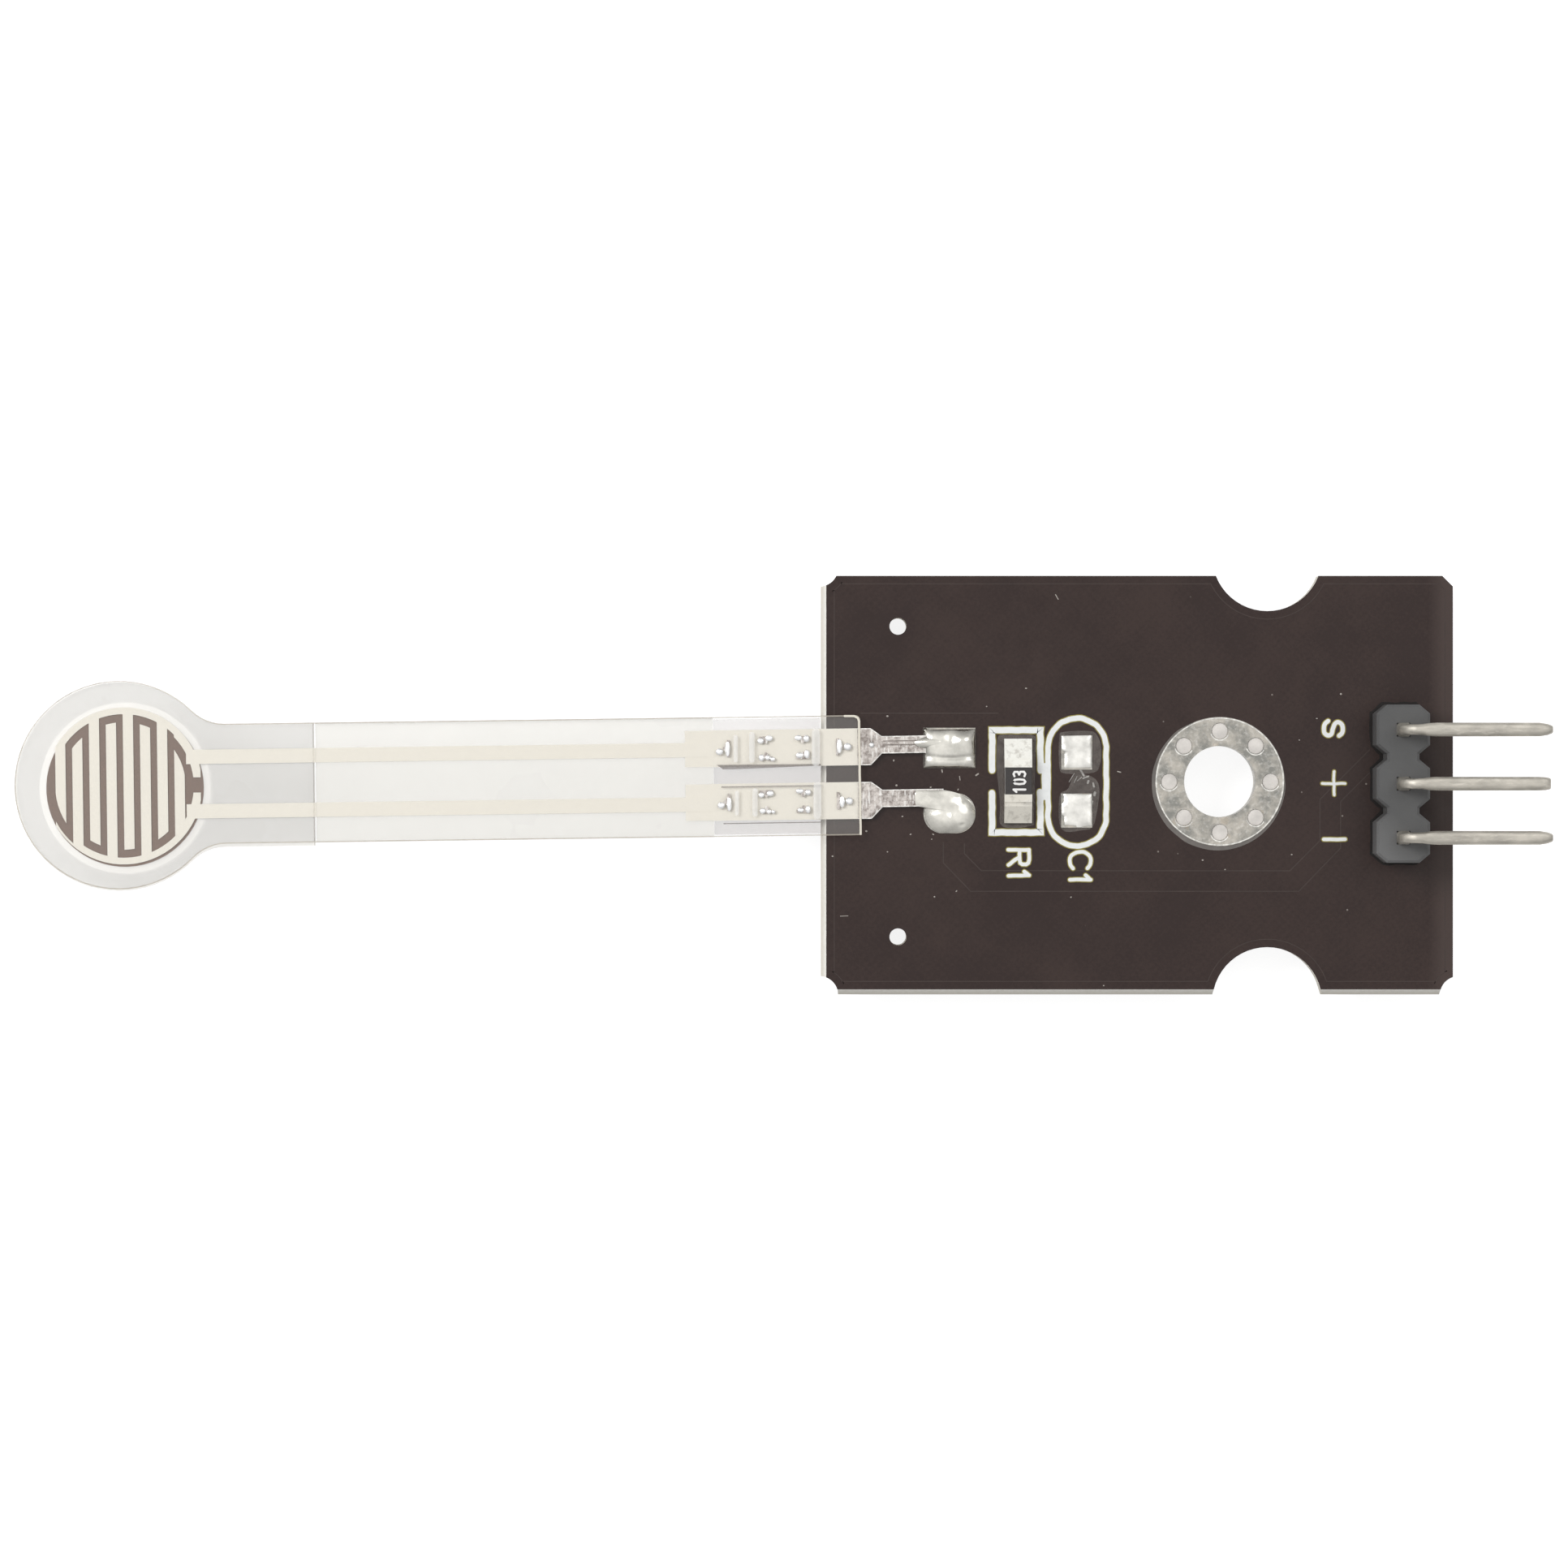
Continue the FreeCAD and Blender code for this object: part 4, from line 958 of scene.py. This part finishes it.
def bell(value, middle, reach):
    """A smooth bump: 1 at the middle, falling away over the reach."""
    return math.exp(-(((value - middle) / reach) ** 2))


def tongue_crown(q, t):
    """Height of the solder that has run up the end of the upper terminal."""
    return 0.2 * MM * (1 - (1 - t) ** 2.2)


def upper_crown(q, t):
    """Height of the upper joint: a pillow that runs on from the terminal, with a crease below it."""
    x, y = q.x / MM, q.y / MM
    along = min(1, abs(x + 12.81) / 1.23)
    across = min(1, abs(y - 1.57) / 0.93)
    rise = 0.4 * ((1 - along**5) * (1 - across**3)) ** 0.55
    crease = 0.1 * bell(y, 1.2 - 0.1 * math.cos((x + 12.8) * 1.4), 0.1)
    swell = 0.12 * bell(y, 1.95, 0.35) * bell(x, -12.1, 0.4)
    hollow = 0.05 * bell(y, 1.9, 0.5) * bell(x, -12.75, 0.25)
    height = rise + min(1, 4 * rise) * (swell - crease - hollow)
    return height * MM + uneven(q, 0.7, 0.02) * min(1, 4 * t)


def lower_crown(q, t):
    """Height of the lower joint: a dome that has crept up over the end of the terminal."""
    x, y = q.x / MM, q.y / MM
    rise = 0.4 * (1 - (1 - t) ** 2.4)
    neck = 0.27 * math.exp(-(((y + 0.78) / 0.48) ** 6)) * bell(max(x, -12.4), -12.4, 0.35)
    hollow = 0.09 * bell(x, -12.72, 0.2) * bell(y, -1.45, 0.3)
    nick = 0.06 * bell(x, -12.2, 0.12) * bell(y, -2.05, 0.07)
    uphill = (rise**4 + neck**4) ** 0.25
    return (uphill - min(1, 3 * t) * (hollow + nick)) * MM + uneven(q, 0.7, 0.025, 3.0) * min(1, 4 * t)


class SENSOR_OT_solder(bpy.types.Operator):
    """Shape the two solder joints of the sensor and finish the joints of the header"""

    bl_idname = "sensor.solder"
    bl_label = "Solder"

    def execute(self, context):
        solder = reflowed_solder(context.scene.metal_looks)
        dress(solder, "header_solder")

        # The square joint with the tongue that runs up the terminal and a bead at its corner
        square = points((-14.03, 2.44), (-11.59, 2.49), (-11.59, 0.66), (-14.03, 0.66))
        tongue = points((-14.5, 1.83), (-14.2, 2.06), (-13.7, 2.14), (-13.0, 2.1), (-12.6, 1.9),
                        (-13.0, 1.66), (-13.7, 1.55), (-14.2, 1.6))
        middle, root, heart = points((-12.85, 1.7), (-13.5, 1.85), (-12.77, -1.4))
        upper = (
            (mound, refine(square, 0.1 * MM, True), middle, LAND_TOP, upper_crown, 18),
            (mound, smooth(tongue, 5, True), root, STRIP_TOP - 0.02 * MM, tongue_crown, 10),
            button((-13.96, 2.42), LAND_TOP, 0.16, 18),
        )
        piece("solder_on_upper_land", "solder", solder, *upper, replaces=("sensor_solder_upper",),
              soft=True)

        pool = points((-14.4, -0.42), (-13.96, -0.37), (-13.46, -0.35), (-12.88, -0.43),
                      (-12.35, -0.58), (-11.87, -0.88), (-11.63, -1.31), (-11.62, -1.73),
                      (-11.84, -2.15), (-12.31, -2.4), (-13.2, -2.43), (-13.65, -2.22),
                      (-13.92, -1.81), (-13.97, -1.45), (-14.05, -1.2), (-14.4, -1.16))
        lower = (mound, smooth(pool, 5, True), heart, LAND_TOP, lower_crown, 20)
        piece("solder_on_lower_land", "solder", solder, lower, replaces=("sensor_solder_lower",),
              soft=True)
        return {"FINISHED"}


def bent_pin(work, looks, node, end):
    """A square wire with eased edges that stands up through the block, bends and tapers to an end
    of a half width."""
    low, high = (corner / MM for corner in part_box(node))
    row = (low.y + high.y) / 2
    full, slim = looks.pin_half, looks.bend_half
    level = high.z - full
    tip = high.x
    stem, bend, steps, sides = 8.5, 0.5, 8, 16

    # X, Z, angle of the run, half thickness and half width
    stations = [(stem, low.z, 90, 0.18, 0.18), (stem, low.z + 0.25, 90, full, full)]
    stations.append((stem, level - bend - 0.35, 90, full, full))
    stations.append((stem, level - bend - 0.1, 90, full - 0.04, slim))
    for n in range(steps + 1):
        turn = 90 - 90 * n / steps
        x = stem + bend - bend * math.sin(math.radians(turn))
        z = level - bend + bend * math.cos(math.radians(turn))
        stations.append((x, z, turn, full - 0.08 * math.sin(math.pi * n / steps), slim))
    for x, half in ((9.3, slim + 0.01), (9.6, slim + 0.05), (9.95, full), (tip - 0.62, full)):
        stations.append((x, level, 0, full, half))
    for back, thick, half in (
        (0.25, full * 0.85, (full + end) / 2 + 0.01), (0.05, 0.2, end), (0.0, 0.15, end - 0.04)
    ):
        stations.append((tip - back, level, 0, thick, half))

    rings = []
    for x, z, turn, thick, wide in stations:
        over = Vector((-math.sin(math.radians(turn)), 0, math.cos(math.radians(turn))))
        # The corners are rounder where the wire was bent or cut
        corner = 1.24 if wide > slim + 0.03 else 1.1
        ring = []
        for n in range(sides):
            angle = math.tau * (n + 0.5) / sides
            grow = min(1 / max(abs(math.cos(angle)), abs(math.sin(angle))), corner)
            across = Vector((0, grow * math.cos(angle) * wide, 0))
            place = Vector((x, row, z)) + across + over * grow * math.sin(angle) * thick
            ring.append(work.verts.new(place * MM))
        rings.append(ring)
    skin(work, rings)
    work.faces.new(rings[0][::-1])
    work.faces.new(rings[-1])


class SENSOR_OT_header(bpy.types.Operator):
    """Finish the header block, bend its three pins and paint the shadow round its foot"""

    bl_idname = "sensor.header"
    bl_label = "Pin header"

    def execute(self, context):
        looks = context.scene.header_looks
        dress(moulded_nylon(looks), "header_housing")
        metal = drawn_tinned_brass(context.scene.metal_looks)
        for name, end in (("signal", 0.19), ("supply", 0.27), ("ground", 0.19)):
            node = "header_pin_" + name
            wire = (bent_pin, looks, node, end)
            piece("bent_pin_" + name, "pin_metal", metal, wire, replaces=(node,), soft=True)

        # Painted shadow: a dark line round the foot of the block, on the board
        foot = waver(refine(rim("header_housing", LAND_TOP), 0.15 * MM, closed=True), 0.5, 0.08)
        dark = resin_and_painted_shade("painted_shadow_round_the_block", linear("#16110f"), 0.6)
        piece("shadow_round_block", "solder_mask", dark, (band, foot, 0.16, BOARD_TOP, 0.01, True, -0.05))
        return {"FINISHED"}


# Film sensor


def sheet(low_x, high_x, low_y, high_y):
    """A rectangle on the film sensor, in millimetres."""
    corners = ((low_x, low_y), (high_x, low_y), (high_x, high_y), (low_x, high_y))
    return [on_sensor(x, y) for x, y in corners]


class SENSOR_OT_film(bpy.types.Operator):
    """Finish the films and the printed inks of the sensor, and paint the shade under the film where it
    hangs clear of the table
    """

    bl_idname = "sensor.film"
    bl_label = "Film sensor"

    def execute(self, context):
        looks = context.scene.sensor_looks
        clear = polyester_film("clear_polyester_film", looks.film, looks.film_haze, 6.0)
        milky = polyester_film("milky_polyester_film", looks.milky, looks.milky_haze, 6.0)
        glue = polyester_film("clear_acrylic_adhesive", looks.film, looks.glue_haze, 1.5)
        backing = polyester_film("milky_head_film", linear("#fbf8f1"), looks.head_haze, 6.0)
        layer("film_sheet", "sensor_main_film", "clear_film", clear, (1.88, 0.004))
        layer("head_sheet", "sensor_head_film", "milky_film", backing, (1.80, -0.004))
        layer("tail_cover_sheet", "sensor_tail_film", "milky_film", milky, (1.86, -0.004))
        layer("adhesive_ring", "spacer_adhesive", "adhesive", glue, (1.80, 0.003), (1.86, -0.003))
        silver = screen_printed_silver(looks)
        dress(silver, "electrode_upper", "electrode_lower")
        dress(screen_printed_carbon(looks), "pressure_ink")

        # The crimp pads were printed a little past the terminals, under the milky cover
        fronts = [sheet(26.82, 28.12, row - 0.86, row + 0.86) for row in (1.34, -1.2)]
        base = STRIP_TOP + 0.001 * MM
        piece("pad_fronts", "silver", silver, *[(prism, front, base, 0.005) for front in fronts])

        # Below the crimps the film hangs clear of the table. Grey layers under it are painted shadow:
        # the shade on the table below the film, seen through it
        floor_shadow = polyester_film("painted_floor_shadow_under_film", looks.floor_shadow, looks.floor_shadow_haze, 3.0)
        under = sheet(28.16, 33.235, -2.74, 2.74)
        shadow_sheets = [(prism, under, height * MM, 0.01) for height in (1.60, 1.58)]
        piece("shadow_under_hanging_film", "clear_film", floor_shadow, *shadow_sheets)

        # The punched edge of the film catches the light, most over the dark board
        wide = looks.edge_width
        outline = rim("sensor_main_film", FILM_TOP)
        end = [(35.08, y) for y in (-2.78, -1.2, 0.0, 1.2, 2.55)]
        end += [(35.02, 2.7), (34.85, 2.79), (34.4, 2.81)]
        end = waver(refine([on_sensor(x, y) for x, y in end], 0.2 * MM), 0.6, 0.02)
        head_end = [on_sensor(9.23, y) for y in (-2.95, 2.8)]
        edge = polyester_film("punched_film_edge", looks.cut_edge, 0.5, 0.5)
        bright = polyester_film("bright_film_end", linear("#f1ebdc"), 0.8, 0.4)
        faint = polyester_film("edge_of_head_film", looks.cut_edge, 0.2, 0.5)
        piece("film_edge", "clear_film", edge, (band, outline, wide, FILM_TOP, 0.003, True, wide / 2))
        piece("film_end_edge", "clear_film", bright, (band, end, 0.1, FILM_TOP + 0.003 * MM, 0.004))
        piece("head_end_line", "milky_film", faint, (band, head_end, 0.05, FILM_TOP, 0.002))
        return {"FINISHED"}


# X, Y, half length and half width of each turned-over tip, in millimetres. The tips are painted white
# as a highlight
TIPS = (
    (-23.71, 1.41, 0.18, 0.16), (-23.32, 1.54, 0.12, 0.36), (-21.76, 1.92, 0.16, 0.14),
    (-21.36, 2.05, 0.18, 0.14), (-21.72, 1.13, 0.14, 0.16), (-21.42, 1.13, 0.13, 0.12),
    (-21.19, 1.06, 0.12, 0.1), (-19.97, 2.07, 0.18, 0.13), (-19.59, 2.03, 0.15, 0.17),
    (-19.91, 1.24, 0.18, 0.14), (-19.57, 1.30, 0.14, 0.2), (-18.03, 1.67, 0.13, 0.34),
    (-17.64, 1.65, 0.19, 0.18), (-23.62, -1.13, 0.18, 0.16), (-23.24, -1.08, 0.12, 0.32),
    (-21.72, -0.64, 0.15, 0.13), (-21.30, -0.56, 0.17, 0.14), (-21.66, -1.39, 0.15, 0.13),
    (-21.36, -1.42, 0.12, 0.1), (-21.15, -1.43, 0.09, 0.09), (-19.91, -0.45, 0.18, 0.12),
    (-19.51, -0.51, 0.15, 0.14), (-19.86, -1.35, 0.15, 0.11), (-19.51, -1.32, 0.13, 0.18),
    (-17.9, -0.96, 0.13, 0.27), (-17.56, -0.92, 0.18, 0.18),
)


# X, Y, half length and width of the painted highlight on each ridge, in millimetres
RIDGES = (
    (-22.94, 1.56, 0.55, 0.2), (-22.17, 1.62, 0.6, 0.26), (-19.14, 1.62, 0.7, 0.38),
    (-22.88, -1.02, 0.5, 0.18), (-22.02, -0.98, 0.55, 0.24), (-19.07, -0.9, 0.7, 0.36),
)


class SENSOR_OT_crimps(bpy.types.Operator):
    """Finish the terminals with their prongs pressed flat, paint highlights on the ridges across the
    film and on the turned-over tips, paint shade in the grooves and under the strips, and brighten the
    sheared edges of the terminals
    """

    bl_idname = "sensor.crimps"
    bl_label = "Crimps"

    def execute(self, context):
        strip = stamped_tinned_bronze(context.scene.metal_looks)
        sides = ("upper", "lower")
        end = -13.1 * MM
        for name in sides:
            pressed("strip_" + name, "crimp_terminal_" + name, strip, FILM_TOP, end)

        # Painted highlights: the turned-over tips are low domes in white metal
        curls = [(curl, *tip) for tip in TIPS]

        # Painted highlights: strips of clear white film along the ridges
        raised = FILM_TOP + 0.06 * MM
        ridges = [
            (band, points((x, y - half), (x, y + half)), wide, raised, 0.002)
            for x, y, half, wide in RIDGES
        ]

        loops = [rim("crimp_terminal_" + name, STRIP_TOP) for name in sides]
        loops = [[Vector((min(p.x, end), p.y)) for p in loop] for loop in loops]
        shears = [(band, loop, 0.045, STRIP_TOP, 0.003, True, 0.0225) for loop in loops]
        # Painted shade: two dark lines along the neck of the upper terminal, in its grooves
        runs = [points((-15.95, y), (-14.35, y + 0.02)) for y in (1.92, 1.74)]
        grooves = [(band, run, 0.05, STRIP_TOP, 0.002) for run in runs]

        # Grey lines along the lower edge of each strip are painted shade: the strip's shadow on the
        # film and its shaded side seen slant
        base = FILM_TOP + 0.001 * MM
        upper_strip_shadow = points((-23.84, 0.79), (-23.54, 0.58), (-23.05, 0.58), (-21.12, 0.66), (-18.9, 0.76),
                      (-18.9, 0.84))
        paths = (points((-23.6, -0.26), (-18.9, -0.19)), points((-23.5, -1.99), (-18.9, -1.92)))
        strip_shadows = [(prism, upper_strip_shadow, base, 0.002)] + [(band, path, 0.05, base, 0.002) for path in paths]

        bright = metal_mark("painted_highlight_on_tips", linear("#ffffff"), 0.85)
        piece("curled_tips", "terminal_metal", bright, *curls, soft=True)
        # Painted highlight: a small white dome on the dimple in the upper terminal
        dimple = button((-16.5, 1.73), STRIP_TOP, 0.08, 16)
        piece("strip_dimple", "terminal_metal", bright, dimple, soft=True)
        clear = polyester_film("painted_highlight_on_ridges", linear("#fffefc"), 0.3, 0.4)
        piece("ridge_highlight_strips", "clear_film", clear, *ridges)
        cut = metal_mark("sheared_strip_edge", linear("#f4f1ec"), 0.6)
        piece("sheared_edges", "terminal_metal", cut, *shears)
        dull = metal_mark("painted_shade_in_grooves", linear("#8d8580"), 0.7)
        piece("groove_shade_lines", "terminal_metal", dull, *grooves)
        grey = polyester_film("painted_shadow_under_strips", linear("#8f8884"), 0.5, 0.6)
        piece("strip_shadow_lines", "clear_film", grey, *strip_shadows)
        return {"FINISHED"}


def curl(work, x, y, long, wide):
    """A turned-over tip of a prong: a low oval dome on the film, in millimetres."""
    centre = Vector((x, y)) * MM
    outline = [centre + Vector((p.x * long, p.y * wide)) for p in circle((0, 0), 1 * MM, 16)]
    rise = 0.5 * min(long, wide) * MM
    mound(work, outline, centre, FILM_TOP, lambda q, t: rise * (1 - (1 - t) ** 2) + 0.01 * MM, 6)


# Stage


def pale_floor(looks):
    """Matt white table: white to the camera where nothing shades it, and it keeps the shadow."""
    inputs = {"Roughness": 0.9, "Base Color": looks.floor, "Emission Color": (1, 1, 1)}
    look = Finish("pale_floor", inputs)
    ray = look.add("LightPath").outputs
    seen = look.sum("MAXIMUM", ray["Is Camera Ray"], ray["Is Glossy Ray"])
    seen = look.sum("MAXIMUM", seen, ray["Is Transmission Ray"])
    glow = look.sum("MULTIPLY", seen, looks.floor_glow)
    look.tree.links.new(glow, look.shader.inputs["Emission Strength"])
    return look.material


class SENSOR_OT_stage(bpy.types.Operator):
    """Set up the floor, the lamps and the camera"""

    bl_idname = "sensor.stage"
    bl_label = "Stage"

    def execute(self, context):
        scene = context.scene
        looks = scene.stage_looks
        low, high = CAD_BOX
        middle = (low + high) / 2

        reach = 0.6
        corners = ((-1, -1), (1, -1), (1, 1), (-1, 1))
        places = [(middle.x + a * reach, middle.y + b * reach, low.z) for a, b in corners]
        mesh = bpy.data.meshes.new("floor")
        mesh.from_pydata(places, [], [(0, 1, 2, 3)])
        mesh.materials.append(pale_floor(looks))
        floor = bpy.data.objects.new("floor", mesh)
        scene.collection.objects.link(floor)

        # Even light all round. Reflections see it bright overhead and dimmer towards the horizon,
        # and the camera sees white.
        scene.world = bpy.data.worlds.new("studio")
        scene.world.use_nodes = True
        sky = Nodes(scene.world.node_tree)
        ray = sky.add("LightPath").outputs
        up = sky.axes(sky.add("TexCoord").outputs["Generated"])["Z"]
        overhead = sky.spread(up, 0.1, 0.95, looks.horizon, 1.08)
        strength = sky.mix(ray["Is Glossy Ray"], looks.sky, overhead)
        strength = sky.mix(ray["Is Camera Ray"], strength, 1.0)
        light = sky.add("Background", {"Color": (1, 1, 1), "Strength": strength})
        sky.add("OutputWorld", {"Surface": light.outputs[0]})

        for name, stand, across, watts in (
            ("key", (-0.25, 0.14, 0.3), 0.2, looks.key),
            ("fill", (0.2, 0.15, 0.28), 0.26, looks.fill),
        ):
            data = bpy.data.lights.new(name, "AREA")
            data.shape = "DISK"
            data.size = across
            data.energy = watts
            lamp = bpy.data.objects.new(name, data)
            lamp.location = middle + Vector(stand)
            lamp.rotation_euler = (middle - lamp.location).to_track_quat("-Z", "Y").to_euler()
            scene.collection.objects.link(lamp)

        data = bpy.data.cameras.new("camera")
        data.sensor_width = 36.0
        data.lens = data.sensor_width * looks.camera_height / looks.view_width
        data.clip_start = 0.01
        data.clip_end = 5.0
        camera = bpy.data.objects.new("camera", data)
        camera.location = (looks.view_x * MM, looks.view_y * MM, BOARD_TOP + looks.camera_height * MM)
        scene.collection.objects.link(camera)
        scene.camera = camera
        scene.view_settings.view_transform = "Standard"
        return {"FINISHED"}


class SENSOR_PT_panel(bpy.types.Panel):
    """Lists the steps that build the sensor's looks"""

    bl_label = "Film pressure sensor"
    bl_idname = "SENSOR_PT_panel"
    bl_space_type = "VIEW_3D"
    bl_region_type = "UI"
    bl_category = "Sensor"

    def draw(self, context):
        for operator in OPERATORS:
            self.layout.operator(operator.bl_idname)


GROUPS = (
    ("board_looks", BoardLooks),
    ("metal_looks", MetalLooks),
    ("sensor_looks", SensorLooks),
    ("header_looks", HeaderLooks),
    ("stage_looks", StageLooks),
)
OPERATORS = (
    SENSOR_OT_board,
    SENSOR_OT_legend,
    SENSOR_OT_dust,
    SENSOR_OT_chip,
    SENSOR_OT_solder,
    SENSOR_OT_header,
    SENSOR_OT_film,
    SENSOR_OT_crimps,
    SENSOR_OT_stage,
)


def register():
    for name, group in GROUPS:
        bpy.utils.register_class(group)
        setattr(bpy.types.Scene, name, bpy.props.PointerProperty(type=group))
    for item in (*OPERATORS, SENSOR_PT_panel):
        bpy.utils.register_class(item)


def unregister():
    for item in (SENSOR_PT_panel, *reversed(OPERATORS)):
        bpy.utils.unregister_class(item)
    for name, group in reversed(GROUPS):
        delattr(bpy.types.Scene, name)
        bpy.utils.unregister_class(group)


def main():
    register()
    bpy.ops.sensor.board()
    bpy.ops.sensor.legend()
    bpy.ops.sensor.dust()
    bpy.ops.sensor.chip()
    bpy.ops.sensor.solder()
    bpy.ops.sensor.header()
    bpy.ops.sensor.film()
    bpy.ops.sensor.crimps()
    bpy.ops.sensor.stage()


if __name__ == "__main__":
    main()
